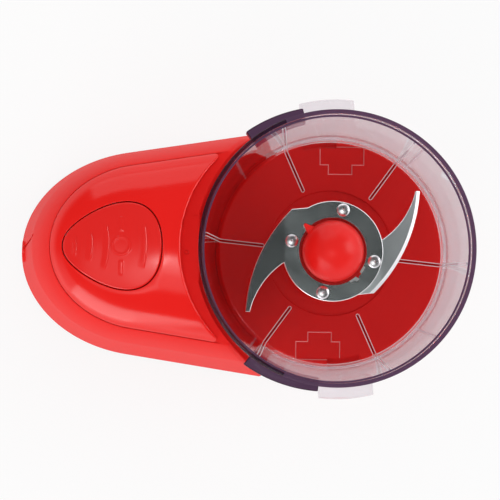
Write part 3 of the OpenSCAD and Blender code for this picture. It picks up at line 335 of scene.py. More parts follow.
# Near-white steel for the lower blade's ground edge, and a painted highlight on the small top chamfers of
# both blades.
ground_and_highlight_steel = metal("ground_edge_and_highlight", (0.94, 0.96, 0.96), 0.42, stretch=(1, 1, 1))
rivet_steel = metal("rivet_heads", (0.93, 0.94, 0.95), 0.30, grain=0.02)
polished = metal("polished_steel", (0.82, 0.83, 0.84), 0.12, grain=0.02)
zinc = metal("zinc_plated", (0.62, 0.64, 0.66), 0.34, scale=400.0)
brass = metal("satin_brass", (0.78, 0.58, 0.26), 0.30)

# %% [markdown]
# Windings, sheet stacks and the belt are recognised by their lines. A wave texture along the right
# direction gives them: wires side by side, sheets on each other, ribs along the belt.

# %% Lined finishes: wire, stacked sheets, belt
def lined(name, dark, light, rough, metallic, pitch, way, depth=0.6):
    """A finish with fine parallel lines, one every pitch millimetres across a direction."""
    finish = Finish(bpy.data.materials.new(name))
    where = finish.add("TexCoord", out=3)
    along = finish.add("SeparateXYZ", {0: where}, out=way)
    phase = along * (2 * math.pi / (pitch * mm))
    line = phase.maths("SINE") * 0.5 + 0.5
    grain = finish.add("TexNoise", {"Vector": where, "Scale": 500.0, "Detail": 3.0})
    tint = finish.mix(line * 0.8 + grain * 0.2, dark, light)
    bump = finish.add("Bump", {"Strength": depth, "Distance": pitch * mm * 0.3, "Height": line})
    polish = finish.add("MapRange", {"Value": grain, "To Min": rough - 0.08, "To Max": rough + 0.08})
    finish.surface(finish.add("BsdfPrincipled", {
        "Base Color": tint, "Roughness": polish, "Metallic": metallic, "Normal": bump}))
    return finish


copper = lined("copper_wire", (0.36, 0.12, 0.04), (0.80, 0.36, 0.14), 0.32, 0.9, 0.6, 2)
sheets = lined("sheet_stack", (0.16, 0.16, 0.17), (0.50, 0.51, 0.53), 0.42, 0.9, 1.0, 2)
belt = lined("belt_rubber", (0.012, 0.012, 0.012), (0.035, 0.035, 0.035), 0.62, 0.0, 1.0, 2)

# %% Plain plastics and rubber
black_plastic = plastic("black_plastic", (0.035, 0.035, 0.038), 0.48, 0.06, 0.35, 1600)
pale_plastic = plastic("pale_plastic", (0.72, 0.70, 0.64), 0.42, 0.05, 0.10, 900)
amber_plastic = plastic("amber_plastic", (0.72, 0.46, 0.08), 0.34, 0.05, 0.10, 900)
red_plastic = plastic("red_small_parts", (0.58, 0.05, 0.04), 0.36, 0.05, 0.10, 900)
carbon = plastic("carbon_block", (0.03, 0.03, 0.032), 0.55, 0.08, 0.5, 2200)
rubber = plastic("soft_rubber", (0.022, 0.022, 0.023), 0.66, 0.06, 0.30, 1200)

cad_finish = {
    black_plastic: "base_plate power_switch interlock_switch cooling_fan drive_dog",
    rubber: "rubber_feet motor_mounts spindle_seal",
    zinc: "base_screws cover_screws bracket_screws lower_motor_bracket upper_motor_bracket motor_screws "
          "motor_nuts retaining_ring clamp_screws",
    polished: "button_springs interlock_spring rotor_shaft spindle",
    pale_plastic: "switch_bracket motor_pulley spindle_pulley cord_clamp terminal_block",
    red_plastic: "switch_plunger interlock_pin wiring",
    red_body: "interlock_plunger cord_gland",
    sheets: "stator_core rotor_core",
    copper: "field_coils rotor_windings",
    brass: "commutator motor_bushes brush_holders spindle_bushes",
    carbon: "carbon_brushes",
    belt: "drive_belt",
    amber_plastic: "suppressor",
}
for finish, names in cad_finish.items():
    for name in names.split():
        coat(nodes[name], finish)
print("CAD nodes with a finish", sum(len(names.split()) for names in cad_finish.values()))

# %% [markdown]
# ## Modelling helpers
# Most shapes here are stacks of outlines. A circle with the right number of points is laid on the
# lowest outline and extruded from level to level, and its points are moved onto each next outline.

# %% Start, finish and cut
def named(obj, name):
    obj.name = name
    obj.data.name = name
    return obj


def arc_points(cx, cy, r, from_deg, to_deg, steps=4):
    """Points on a circle from one angle to another."""
    turns = [math.radians(from_deg + (to_deg - from_deg) * i / steps) for i in range(steps + 1)]
    return [(cx + r * math.cos(t), cy + r * math.sin(t)) for t in turns]


def polar(r, degrees):
    return (r * math.cos(math.radians(degrees)), r * math.sin(math.radians(degrees)))


def angle_of(x, y):
    return math.degrees(math.atan2(y, x))


def only(obj):
    """The one object that is selected and active."""
    clear()
    bpy.context.view_layer.objects.active = obj
    obj.select_set(True)


def edit(obj):
    """Edit mode on one object, with all of it selected."""
    only(obj)
    bpy.ops.object.mode_set(mode="EDIT")
    bpy.ops.mesh.select_all(action="SELECT")


def sealed(obj, merge=0.0):
    """Ends edit mode with near points merged and the normals outward."""
    bpy.ops.mesh.select_all(action="SELECT")
    if merge:
        bpy.ops.mesh.remove_doubles(threshold=merge)
    bpy.ops.mesh.normals_make_consistent(inside=False)
    clear()
    return obj


def circle(name, points, fill="NGON"):
    """A circle whose points are moved to the given places, in edit mode."""
    clear()
    bpy.ops.mesh.primitive_circle_add(vertices=len(points), radius=0.01, fill_type=fill)
    obj = named(bpy.context.object, name)
    for v, p in zip(obj.data.vertices, points):
        v.co = place(*p)
    edit(obj)
    return obj


def lay(obj, points):
    """Moves the points that are selected to the given places."""
    shape = bmesh.from_edit_mesh(obj.data)
    for v, p in zip([v for v in shape.verts if v.select], points):
        v.co = place(*p)
    bmesh.update_edit_mesh(obj.data)


def stacked(name, rings):
    """Closed solid through outlines of equally many [x, y, z] points, lowest first."""
    obj = circle(name, rings[0])
    for ring in rings[1:]:
        bpy.ops.mesh.extrude_region_move()
        lay(obj, ring)
    return sealed(obj)


def spun(name, profile, steps):
    """Solid turned round the spindle's axis from a closed profile of (radius, height) points."""
    obj = circle(name, [(r, 0, z) for r, z in profile], "NOTHING")
    bpy.ops.mesh.spin(steps=steps, angle=2 * math.pi, center=place(0, 0, 0), axis=(0, 0, 1))
    return sealed(obj, 0.000004)


def slab(name, flat, half):
    """Upright plate along x from (radius, height) points."""
    obj = circle(name, [(r, -half, z) for r, z in flat])
    bpy.ops.mesh.extrude_region_move(TRANSFORM_OT_translate={"value": (0, 2 * half * mm, 0)})
    return sealed(obj)


def settled(name):
    """The object just added, named, with its place and size in its mesh."""
    bpy.ops.object.transform_apply(location=True, rotation=True, scale=True)
    return named(bpy.context.object, name)


def cylinder(name, x, y, low, high, radius, sides=64, tilt=0.0):
    clear()
    bpy.ops.mesh.primitive_cylinder_add(vertices=sides, radius=radius * mm, depth=(high - low) * mm,
                                        location=place(x, y, (low + high) / 2), rotation=(0, tilt, 0))
    return settled(name)


def block(name, xs, ys, zs):
    clear()
    bpy.ops.mesh.primitive_cube_add(size=1, location=place(sum(xs) / 2, sum(ys) / 2, sum(zs) / 2),
                                    scale=((xs[1] - xs[0]) * mm, (ys[1] - ys[0]) * mm, (zs[1] - zs[0]) * mm))
    return settled(name)


def turned_copy(obj, degrees):
    """A copy with its own mesh, turned about the spindle's axis."""
    other = obj.copy()
    other.data = obj.data.copy()
    bpy.context.scene.collection.objects.link(other)
    centre = place(0, 0, 0)
    other.data.transform(Matrix.Translation(centre) @ Matrix.Rotation(math.radians(degrees), 4, "Z")
                         @ Matrix.Translation(-centre))
    return other


def joined(*parts):
    clear()
    for part in parts:
        part.select_set(True)
    bpy.context.view_layer.objects.active = parts[0]
    bpy.ops.object.join()
    return parts[0]


def changed(obj, kind, **settings):
    """A modifier, set and applied."""
    only(obj)
    change = obj.modifiers.new("change", kind)
    for key, value in settings.items():
        setattr(change, key, value)
    bpy.ops.object.modifier_apply(modifier=change.name)


def cut(obj, tool, operation="DIFFERENCE"):
    """Boolean with a tool that is used up."""
    changed(obj, "BOOLEAN", operation=operation, solver="MANIFOLD", object=tool)
    bpy.data.objects.remove(tool)
    return obj


def rounded(obj, width, slot=-1):
    """Rounds the sharp edges by a bevel, as a mould's cutter leaves them, with a finish of its own."""
    changed(obj, "BEVEL", width=width * mm, segments=2, limit_method="ANGLE", angle_limit=math.radians(35),
            use_clamp_overlap=True, material=slot)


def finished(obj, finish, body, *replaced, slot=None, smooth=35, second=None):
    """Smooth shading, its finish, the body it rides on and the CAD nodes it stands for."""
    only(obj)
    bpy.ops.object.shade_smooth_by_angle(angle=math.radians(smooth))
    indexes = [p.material_index for p in obj.data.polygons]
    coat(obj, *([finish, second] if second else [finish]))
    obj.data.polygons.foreach_set("material_index", indexes if second else [0] * len(indexes))
    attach(obj, body)
    if replaced:
        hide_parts(*replaced)
    obj.data.calc_loop_triangles()
    print(obj.name, "triangles", len(obj.data.loop_triangles))


# %% [markdown]
# ## Tower sizes
# The tower's outline is half an ellipse at the nose and two straight flanks that open towards the
# bowl. It leans in as it rises, first evenly and then quickly near the parting line, which gives
# the soft crease of the real one.

# %% Outline of the tower
fold_z = 98.0
feet_h = 2.5
nose_x, nose_len, nose_lean = -94.5, 70.0, 19.0
half_wide, flank_lean, slope = 55.5, 13.0, 0.156
front_r = 71.8
tangent = math.radians(90) + math.atan(slope * nose_len / half_wide)


def lean(z):
    """0 at the foot, 1 at the parting line: an even lean, a quick one at the top and a faint swell."""
    u = (z - feet_h) / (fold_z - feet_h)
    return 0.66 * u + 0.34 * max(u, 0) ** 8 - 0.03 * max(0.0, 1 - abs(u - 0.72) / 0.13)


def half_len(z, inset=0.0):
    return nose_len - nose_lean * lean(z) - inset


def half_w(z, inset=0.0):
    return half_wide - flank_lean * lean(z) - inset


def tangent_point(z, inset=0.0):
    return (nose_x + half_len(z, inset) * math.cos(tangent), half_w(z, inset) * math.sin(tangent))


def flank_y(x, z, inset=0.0):
    tx, ty = tangent_point(z, inset)
    return ty + slope * (x - tx)


def nose_points(z, inset, steps):
    """The round nose, from the upper tangent point to the lower one."""
    turns = [tangent + (2 * math.pi - 2 * tangent) * i / steps for i in range(steps + 1)]
    return [(nose_x + half_len(z, inset) * math.cos(t), half_w(z, inset) * math.sin(t)) for t in turns]


def swept(cx, cy, r, start, sweep, steps):
    """Points on a circle after its start, with the angles in radians."""
    return [(cx + r * math.cos(t), cy + r * math.sin(t))
            for t in [start + sweep * i / steps for i in range(1, steps + 1)]]


def outline(z, inset=0.0, arc=(0.0, front_r), steps=(72, 12, 8, 56)):
    """Outline from the upper tangent point round the nose to the flanks and the hollow front."""
    tip = 1.6
    nose_n, flank_n, tip_n, arc_n = steps
    tx, ty = tangent_point(z, inset)
    cx, cr = arc[0], arc[1] + inset
    base = ty - slope * tx
    low = base - tip * math.sqrt(1 + slope ** 2)
    # Middle of the small circle that rounds the tip between flank and hollow front
    a = 1 + slope ** 2
    b = 2 * (slope * low - cx)
    c = cx ** 2 + low ** 2 - (cr + tip) ** 2
    fx = (-b - math.sqrt(b * b - 4 * a * c)) / (2 * a)
    fy = slope * fx + low
    across = math.pi / 2 + math.atan(slope)
    round_tip = swept(fx, fy, tip, across, math.atan2(-fy, cx - fx) - across, tip_n)
    ex, ey = fx + tip * math.cos(across), fy + tip * math.sin(across)
    flank = [(tx + (ex - tx) * i / flank_n, ty + (ey - ty) * i / flank_n) for i in range(1, flank_n + 1)]
    start = math.atan2(fy, fx - cx)
    front = swept(cx, 0, cr, start, 2 * math.pi - 2 * start, arc_n)[:-1]
    upper = flank + round_tip
    lower = [(x, -y) for x, y in upper]
    return nose_points(z, inset, nose_n) + lower + front[::-1] + upper[::-1]


def at(z, flat):
    return [(x, y, z) for x, y in flat]


print("points in one outline", len(outline(fold_z)), "half width at the fold", round(half_w(fold_z), 1))

# %% [markdown]
# ## Body
# The body is one moulding: a tower with a hollow front, a low deck and a round turret. Each is
# made as its own solid and they are joined, then the room inside and the openings are cut out.

# %% Tower, deck and turret
levels = [0.0, 0.15, 0.3, 0.42, 0.55, 0.59, 0.65, 0.71, 0.72, 0.73, 0.79, 0.85, 0.88, 0.92, 0.95, 0.97, 0.985]
heights = [feet_h + u * (fold_z - feet_h) for u in levels]


def fold_ring(inset, down):
    """Ring at the parting line; the groove runs round the nose and flanks, up to the cover's hollow edge."""
    ring = outline(fold_z, inset)
    in_groove = lambda i: i < 73 + 11 or i >= len(ring) - 11
    return [(x, y, fold_z - (down if in_groove(i) else 0.0)) for i, (x, y) in enumerate(ring)]


tower = stacked("tower_shell", [at(feet_h, outline(feet_h, 0.4))]
                + [at(max(z, feet_h + 0.4), outline(max(z, feet_h + 0.4))) for z in heights]
                + [at(fold_z - 0.6, outline(fold_z - 0.6)), at(fold_z - 0.25, outline(fold_z, 0.04))]
                + [fold_ring(inset, down) for inset, down in
                   ((0.16, 0.0), (0.40, 0.0), (0.46, 0.8), (0.90, 0.8), (0.96, 0.0))])

front_x, corner_r, deck_z = -32.4, 6.0, 32.0


def deck_outline(z, inset=0.0):
    """Outline of the low deck, which runs under the bowl to two rounded corners."""
    r = corner_r - inset
    x = front_x - inset
    corner = arc_points(x - r, flank_y(x - r, z, inset) - r, r, 0, 90, 6)
    return nose_points(z, inset, 60) + [(x, -y) for x, y in corner[::-1]] + corner


deck = stacked("deck", [at(feet_h, deck_outline(feet_h, 0.45)), at(feet_h + 0.4, deck_outline(feet_h, 0.03)),
                        at(deck_z - 0.6, deck_outline(deck_z - 0.6, 0.03)),
                        at(deck_z - 0.2, deck_outline(deck_z, 0.15)), at(deck_z, deck_outline(deck_z, 0.6))])
turret_r, turret_z, recess_r = 60.0, 38.0, 33.0
edge = arc_points(turret_r - 2, turret_z - 2, 2, 90, 0, 6)
turret = spun("turret", [(0, feet_h), (0, turret_z - 1), (recess_r - 0.3, turret_z - 1),
                         (recess_r, turret_z - 0.7), (recess_r, turret_z - 0.3), (recess_r + 0.3, turret_z),
                         (recess_r + 1, turret_z), (turret_r - 2.6, turret_z)] + edge
              + [(turret_r, feet_h + 0.4), (turret_r - 0.4, feet_h)], 192)
# Second slot: the pale red painted highlight for small rims.
for part in (tower, deck, turret):
    coat(part, red_body, red_painted_highlight)
for middle in (96, 278):
    flat = [polar(r, middle + d) for r, ds in ((turret_r + 3, range(-9, 10, 3)), (55.5, range(9, -10, -3)))
            for d in ds]
    cut(turret, stacked("notch", [at(z, flat) for z in (33, 39)]))
tee = [(-17.3, -56, -1, -1), (5.4, -56, 1, -1), (5.4, -47, 1, 1), (1, -47, 1, 1), (1, -42, 1, 1),
       (-11, -42, -1, 1), (-11, -47, -1, 1), (-17.3, -47, -1, 1)]
recess = stacked("recess", [[(x + g * dx, y + g * dy, z) for x, y, dx, dy in tee]
                            for z, g in ((37.4, 0), (37.6, 0), (38, 0.45), (39, 0.45))])
coat(recess, red_body, red_painted_highlight)
# The slanted rim of each recess takes the pale red painted highlight.
for face in recess.data.polygons:
    face.material_index = int(37.7 * mm < face.center.z < 37.9 * mm)
for turn in (0, 180):
    cut(turret, turned_copy(recess, turn))
bpy.data.objects.remove(recess)
print("turret edges", sum(face.material_index == 1 for face in turret.data.polygons))
waist_r = 4.0
waist_x = front_x + waist_r
waist_y = math.sqrt((turret_r + waist_r) ** 2 - waist_x ** 2)
touch = ((turret_r - 0.4) / (turret_r + waist_r) * waist_x, (turret_r - 0.4) / (turret_r + waist_r) * waist_y)
bend = arc_points(waist_x, waist_y, waist_r, 180, angle_of(-waist_x, -waist_y) + 360, 10)
waist_flat = [(front_x - 1, waist_y - 0.1)] + bend[1:] + [touch, (front_x - 1, touch[1] - 6)]
waists = [stacked("waist", [[(x, side * y, z) for x, y in waist_flat] for z in (feet_h + 0.1, deck_z - 0.2)])
          for side in (1, -1)]
for other in [deck, turret] + waists:
    cut(tower, other, "UNION")
print("body before cutting", len(tower.data.polygons), "faces")

# %% Room inside and openings of the body
shell = 2.5
room = stacked("room", [at(z, outline(max(z, feet_h), shell)) for z in [0, feet_h] + heights[2:]]
               + [at(fold_z + 2, outline(fold_z, shell))])
ledge_arc = (-14.6, 64.3)
lock_x = -78.6
cut(room, cylinder("ledge", ledge_arc[0], 0, fold_z - 2.5, fold_z + 4, ledge_arc[1] + 3, 192))
cut(tower, room)
under = spun("under", [(0, -1), (0, 34.5), (turret_r - 7, 34.5), (turret_r - 7, 29.5), (turret_r - 2.5, 29.5),
                       (turret_r - 2.5, -1)], 128)
boss = cylinder("bush_boss", 0, 0, 19.1, 40, 10.5)
cut(under, boss)
cut(tower, under)
cut(tower, block("lip", (-73.2, -69.4), (-17, 17), (94, fold_z - 0.5)), "UNION")
cut(tower, block("pocket", (-72.5, -60), (-16.6, 16.6), (fold_z - 1, fold_z + 1)))
cut(tower, cylinder("tip_hole", -75.7, -2.4, 90, 99, 1.15, 32))
cut(tower, cylinder("bore", 0, 0, 15, 40, 7))
cut(tower, cylinder("gland_hole", -160, 0, 6.5, 20.5, 5.7, 48, math.pi / 2))


def wall_y(x, z, inset):
    """Half width of the tower at a place along it."""
    if x > tangent_point(z, inset)[0]:
        return flank_y(x, z, inset)
    return half_w(z, inset) * math.sqrt(max(0.0, 1 - ((x - nose_x) / half_len(z, inset)) ** 2))


low_screws = [(*polar(48, t), 36) for t in (0, 70, -70)]
low_screws += [(x, side * (wall_y(x, 23, shell) - 2.7), 23.2) for x in (-62, -140.5) for side in (1, -1)]
for x, y, top_z in low_screws:
    cut(tower, cylinder("boss", x, y, 5.2, top_z, 4.2, 48), "UNION")
    cut(tower, cylinder("screw_hole", x, y, 4, 19, 1.5, 32))
cover_screws = [(x, side * (wall_y(x, fold_z, shell) - 3.2)) for x in (-127.5, -90.5) for side in (1, -1)]
for x, y in cover_screws:
    cut(tower, cylinder("ear", x, y, 93.5, fold_z - 0.01, 4.4, 48), "UNION")
    cut(tower, cylinder("ear_hole", x, y, 90, 99, 1.8, 32))
lock_rest = cut(block("lock_rest", (lock_x - 4.6, lock_x + 4.8), (-6, 6), (76, 79)),
                block("pad", (lock_x + 3.4, lock_x + 5.4), (-7, 7), (60, 68)), "UNION")
cut(lock_rest, cylinder("hollow", 0, 0, 50, 90, 73, 192))
cut(tower, lock_rest, "UNION")
cut(tower, cylinder("pin_hole", lock_x, 0, 74, 80, 1.9, 32))
slit = stacked("slit", [[(x + dx, y + dy, z) for dx, dy in ((-3, -0.7), (3.4, -0.7), (3.4, 0.7), (-3, 0.7))]
                        for z, y in ((4, 0.7), (20, 1.8), (40, 3.3), (58, 4.8), (72, 6.7))
                        for x in [nose_x - half_len(z) * math.sqrt(1 - (y / half_w(z)) ** 2)]])
cut(tower, slit)
print("light edges", sum(face.material_index == 1 for face in tower.data.polygons))
# The recess rims keep the pale red painted highlight as a second finish.
finished(tower, red_body, "housing", "main_housing", slot="red_housing", second=red_painted_highlight)

# %% [markdown]
# ## Domed cover
# The cover rises from the parting line and ends in a hollow edge in front of the bowl. Its mesh is
# a fan of lines from the hole of the button to the outer edge, so that both edges are exact and
# the faces follow the curve, with close steps where the dome falls steeply.

# %% Shape of the dome
dome_h, dome_x = 17.0, -79.9
button_x, button_len, button_w = -113.2, 50.0, 44.0


def rise(s, inset=0.0):
    return (dome_h - inset) * max(0.0, 1 - s * s) ** 0.62


def share(x, y, inset=0.0):
    """0 at the dome's top, 1 at the parting line."""
    a, b = half_len(fold_z, inset), half_w(fold_z, inset)
    u, v = x - dome_x, dome_x - nose_x
    if abs(u) < 1e-9 and abs(y) < 1e-9:
        return 0.0
    qa = (u / a) ** 2 + (y / b) ** 2
    qb = 2 * u * v / (a * a)
    qc = (v / a) ** 2 - 1
    k = (-qb + math.sqrt(qb * qb - 4 * qa * qc)) / (2 * qa)
    if dome_x + u * k >= tangent_point(fold_z, inset)[0]:
        k = flank_y(dome_x, fold_z, inset) / max(0.01, abs(y) - slope * u)
    return 1 / k


def dome_z(x, y, inset=0.0):
    return fold_z + 0.4 + rise(min(1.0, share(x, y, inset)), inset)


def egg(grow, t):
    a, b = button_len / 2 + grow, 0.475 * button_w + grow
    s = math.sin(t)
    return (button_x + a * math.cos(t), b * math.copysign(abs(s) ** 0.9, s) * (1 + 0.33 * math.cos(t)))


def egg_towards(grow, x, y):
    """Point of the egg in the direction of a place, seen from the button's middle."""
    want = math.atan2(y, x - button_x)
    low, high = (0.0, math.pi) if want >= 0 else (-math.pi, 0.0)
    for _ in range(50):
        middle = (low + high) / 2
        px, py = egg(grow, middle)
        if math.atan2(py, px - button_x) < want:
            low = middle
        else:
            high = middle
    return egg(grow, (low + high) / 2)


# %% Cover
def grid_piece(name, rows, closed=False):
    """Surface through closed rows of equally many points, laid by extruding circle to circle."""
    obj = circle(name, rows[0], "NOTHING")
    for row in rows[1:]:
        bpy.ops.mesh.extrude_edges_move()
        lay(obj, row)
    bpy.ops.mesh.select_all(action="SELECT")
    if closed:
        bpy.ops.mesh.fill_holes(sides=0)
    return sealed(obj, 0.000002)


def fanned(pairs, steps):
    """Rows between two outlines, closer towards the outer one."""
    return [[(ex + w * (x - ex), ey + w * (y - ey)) for (ex, ey), (x, y) in pairs]
            for w in [1 - (1 - k / steps) ** 2 for k in range(steps + 1)]]


def quarter(gap, r):
    """How far a quarter circle has fallen at a place this far from its edge."""
    return r - math.sqrt(max(0.0, r * r - (r - gap) ** 2)) if 0 <= gap < r else 0.0


cover_edge = outline(fold_z, 0.72, arc=(ledge_arc[0], ledge_arc[1] - 0.72), steps=(96, 22, 8, 72))
fan = [(egg_towards(0.4, x, y), (x, y)) for x, y in cover_edge]
rows = fanned(fan, 30)
top = [[(x, y, dome_z(x, y)) for x, y in row] for row in rows]


def edge_drop(row):
    """Rounds the cut edge of the hollow front by up to 1.2 mm, along a quarter circle."""
    return [(x, y, z - quarter(math.hypot(x - ledge_arc[0], y) - ledge_arc[1],
                               min(1.2, max(0.0, (z - fold_z - 0.4) * 0.45)))) for x, y, z in row]


def off_hole(step):
    """Points a little outside the button's hole."""
    far = [math.hypot(x - ex, y - ey) for (ex, ey), (x, y) in fan]
    return [(ex + step * (x - ex) / d, ey + step * (y - ey) / d) for ((ex, ey), (x, y)), d in zip(fan, far)]


top = [edge_drop(row) for row in top]
inner_edge = [(x, y, dome_z(x, y) - 0.45) for x, y in rows[0]]
hole_wall = [(x, y, dome_z(x, y, shell) - 0.3) for x, y in rows[0]]
skirt = [(x, y, fold_z + 0.3) for x, y in cover_edge]
inner_edge_flat = outline(fold_z, shell, arc=ledge_arc, steps=(96, 22, 8, 72))
inside = fanned([(e, p) for (e, _), p in zip(fan, inner_edge_flat)], 14)
under_side = [[(x, y, min(dome_z(x, y, shell), dome_z(x, y) - 1.0)) for x, y in row] for row in inside]
under_side[-1] = [(x, y, fold_z + 0.3) for x, y in inside[-1]]
cover = grid_piece("domed_cover", [inner_edge, [(x, y, dome_z(x, y) - 0.1) for x, y in off_hole(0.12)]]
                   + [[(x, y, dome_z(x, y)) for x, y in off_hole(0.35)]] + top[2:] + [skirt]
                   + under_side[::-1][:-1] + [hole_wall, inner_edge])
for x, y in cover_screws:
    ring = arc_points(x, y, 3.4, 0, 360, 32)[:-1]
    boss_top = [(px, py, dome_z(px, py) - 1.3) for px, py in ring]
    cut(cover, stacked("boss", [at(98.3, ring), boss_top]), "UNION")
    cut(cover, cylinder("screw_hole", x, y, 97, 101.5, 1.5, 32))
for side in (1, -1):
    post_top = dome_z(button_x, 28, shell) + 0.3
    cut(cover, cylinder("post", button_x, side * 28, 96.2, post_top, 3.4, 48), "UNION")
    cut(cover, cylinder("post_hole", button_x, side * 28, 94, 103, 1.5, 32))
finished(cover, red_cover, "housing", "top_cover", slot="red_cover", smooth=40)

# %% [markdown]
# ## Push button
# The button carries on the dome's curve, a little lower, inside an egg-shaped gap. Its grip
# ridges and the plain mark are soft swellings of the same skin, so they are raised in the mesh.

# %% Button
# Grip ridges: place along the button, length across it, radius of their curve
ridges = [(-18.3, 9.5, 60), (-10.1, 14.5, 50), (-1.7, 23, 45), (17.1, 21.5, 60)]


def soft_bar(along, across, half_long, half_short, soft=0.55):
    """1 on a bar, 0 away from it, with soft edges."""
    def step(v, limit):
        t = min(1.0, max(0.0, (limit + soft - abs(v)) / (2 * soft)))
        return t * t * (3 - 2 * t)
    return step(along, half_long) * step(across, half_short)


def raised(x, y):
    u = x - button_x
    total = 0.0
    for dx, long, radius in ridges:
        r = math.hypot(u - dx + radius, y)
        past = r - radius
        rise_up = min(1.0, max(0.0, 1 + past / 3.4))
        fall = min(1.0, max(0.0, 1 - past / 0.5)) if past > 0 else 1.0
        total = max(total, rise_up ** 2 * (3 - 2 * rise_up) * fall * soft_bar(y, 0, long / 2 - 0.8, 1, 2.2))
        total -= 0.45 * soft_bar(y, past - 0.85, long / 2, 0.25, 0.3)
    mark = math.hypot(u - 4.6, y)
    total = max(total, 0.4 * soft_bar(0, mark - 4.4, 1, 0.55, 0.5))
    for side in (1, -1):
        total = max(total, 0.4 * soft_bar(y - side * 11, u - 4.6, 3.5, 0.95, 0.7))
    return 0.65 * total


turns = [2 * math.pi * i / 360 for i in range(360)]


def egg_row(grow, w):
    return [(button_x + w * (egg(grow, t)[0] - button_x), w * egg(grow, t)[1]) for t in turns]


flat_rows = [egg_row(0, k / 110) for k in range(111)]
cap_rows = [[(x, y, dome_z(x, y, 0.3) + raised(x, y) - quarter(math.hypot(ex - x, ey - y), 0.8))
             for (x, y), (ex, ey) in zip(row, flat_rows[-1])] for row in flat_rows[1:-1]]
rim_row = [(x, y, dome_z(x, y, 0.3) - 0.8) for x, y in flat_rows[-1]]
foot_row = [(x, y, fold_z + 1) for x, y in flat_rows[-1]]
inner = [egg_row(-1.8, w) for w in (1, 0.8, 0.6, 0.4, 0.2, 0.03)]
inner_rows = [[(x, y, fold_z + 1) for x, y in inner[0]]] + [
    [(x, y, dome_z(x, y, 2.1)) for x, y in row] for row in inner]
button = grid_piece("push_button", cap_rows + [rim_row, foot_row] + inner_rows, closed=True)
for x, r, low in ((-15.5, 4.4, 105), (15.5, 4.4, 105), (-15.5, 2.2, 103), (15.5, 2.2, 103), (0, 3, 108.2)):
    cut(button, cylinder("seat", button_x + x, 0, low, dome_z(button_x + x, 0, 2.1) + 0.7, r, 48), "UNION")
finished(button, red_button, "button", "button_cap", slot="red_button", smooth=60)

# %% [markdown]
# ## Bowl
# A clear bowl is thick plastic, so it is a closed solid with both faces: a profile turned round the
# axis, with ribs inside, fins, wings, finger tabs and key lugs joined to it.

# %% Bowl
floor_under, floor_z, rim_z, band_z, rim_r = 38.2, 41.2, 112.0, 102.0, 70.0
in_low, in_top = 58.8, 66.9


def wall_r(z):
    return in_low + (in_top - in_low) * (z - floor_z) / (band_z + 1 - floor_z)


# How much painted highlight (a pale diffuse share) and painted shade (a dark tint) each kind of face gets
kinds = {"plain": (0.0, 0.0), "edge": (0.60, 0.0), "deep": (0.80, 1.0), "fin": (0.25, 0.0),
         "wall": (0.12, 0.0), "tab": (0.28, 0.0), "wing": (0.35, 1.0), "dark": (0.12, 1.0),
         "rib": (0.0, 0.7)}
marks = {kind: i for i, kind in enumerate(kinds)}
mark_slots = [bpy.data.materials.new("mark_" + kind) for kind in kinds]


def marked(obj, kind="plain", where=None):
    """Slots that mark the kinds of face, until they become the painted highlight and painted shade attributes
    of the finished bowl.
    """
    obj.data.materials.clear()
    for item in mark_slots:
        obj.data.materials.append(item)
    for face in obj.data.polygons:
        if where is None or where(face):
            face.material_index = marks[kind]
    return obj


profile = (
    arc_points(6.9, floor_under + 0.3, 0.3, 180, 270, 2) + [(8, floor_under), (60.1, floor_under)]
    + [(60.4, floor_under - 0.3), (60.4, 33.3), (60.7, 33.0), (62.1, 33.0), (62.4, 33.3)]
    + [(62.4, floor_z - 1.4), (wall_r(floor_z + 1) + 2.3, floor_z + 0.6)]
    + [(wall_r(z) + 2.2, z) for z in (floor_z + 2, 60, 80, band_z - 1.6)]
    + [(69.55, band_z - 0.35), (rim_r, band_z + 0.2), (rim_r, rim_z - 0.9)]
    + arc_points(rim_r - 0.9, rim_z - 0.9, 0.9, 0, 90, 5)[1:]
    + arc_points(rim_r - 1.5, rim_z - 0.7, 0.7, 90, 180, 4)
    + [(67.8, band_z + 2), (67.6, band_z + 1.4), (wall_r(band_z + 0.4), band_z + 0.6)]
    + [(wall_r(z), z) for z in (80, 60)]
    + arc_points(wall_r(floor_z + 1) - 0.9, floor_z + 0.9, 0.9, 0, -90, 4)
    + [(57.2, floor_z), (12, floor_z)] + arc_points(9.8, floor_z + 1.2, 1.2, 270, 180, 3)
    + [(8.6, 56.0)] + arc_points(8.1, 56.0, 0.5, 0, 90, 3) + [(6.9, 56.5), (6.6, 56.2)])
bowl = marked(spun("clear_bowl", profile, 192))
flat_rib = [(36, floor_z - 0.6), (59.8, floor_z - 0.6), (wall_r(band_z) + 0.8, band_z + 0.3),
            (wall_r(band_z) - 0.75, band_z + 0.3), (wall_r(floor_z + 2.4) - 0.65, floor_z + 2.4),
            (wall_r(floor_z + 1.4) - 0.9, floor_z + 1.4), (wall_r(floor_z + 1) - 1.6, floor_z + 0.9),
            (36, floor_z + 0.9)]
rib = slab("rib", flat_rib, 1)
cut(rib, cylinder("rib_end", 36, 0, floor_z - 0.6, floor_z + 0.9, 1, 24), "UNION")
edit(rib)
for spot, way in (((0, 0.6, 0), (0, 1, 0)), ((0, -0.6, 0), (0, 1, 0)), ((35.4, 0, 0), (1, 0, 0))):
    bpy.ops.mesh.select_all(action="SELECT")
    bpy.ops.mesh.bisect(plane_co=place(*spot), plane_no=way)
clear()
# Painted shade on the rib's low flat top, painted highlight on its upward-facing sides and its round end.
marked(rib, "rib", lambda face: face.normal.z > 0.8 and face.center.z < 0.05)
for face in rib.data.polygons:
    side = abs(face.center.y) > 0.6 * mm or face.center.x < axis_x + 35.4 * mm
    if side and (face.normal.z > 0.3 or face.normal.x < -0.5):
        face.material_index = marks["edge"]
for i in range(6):
    cut(bowl, turned_copy(rib, -5.8 + 60 * i), "UNION")
bpy.data.objects.remove(rib)
fin_flat = [(60.2, floor_z), (62.2, floor_z - 1.6), (69.7, band_z + 0.5), (wall_r(band_z) + 1, band_z)]
fin = slab("fin", fin_flat, 0.6)
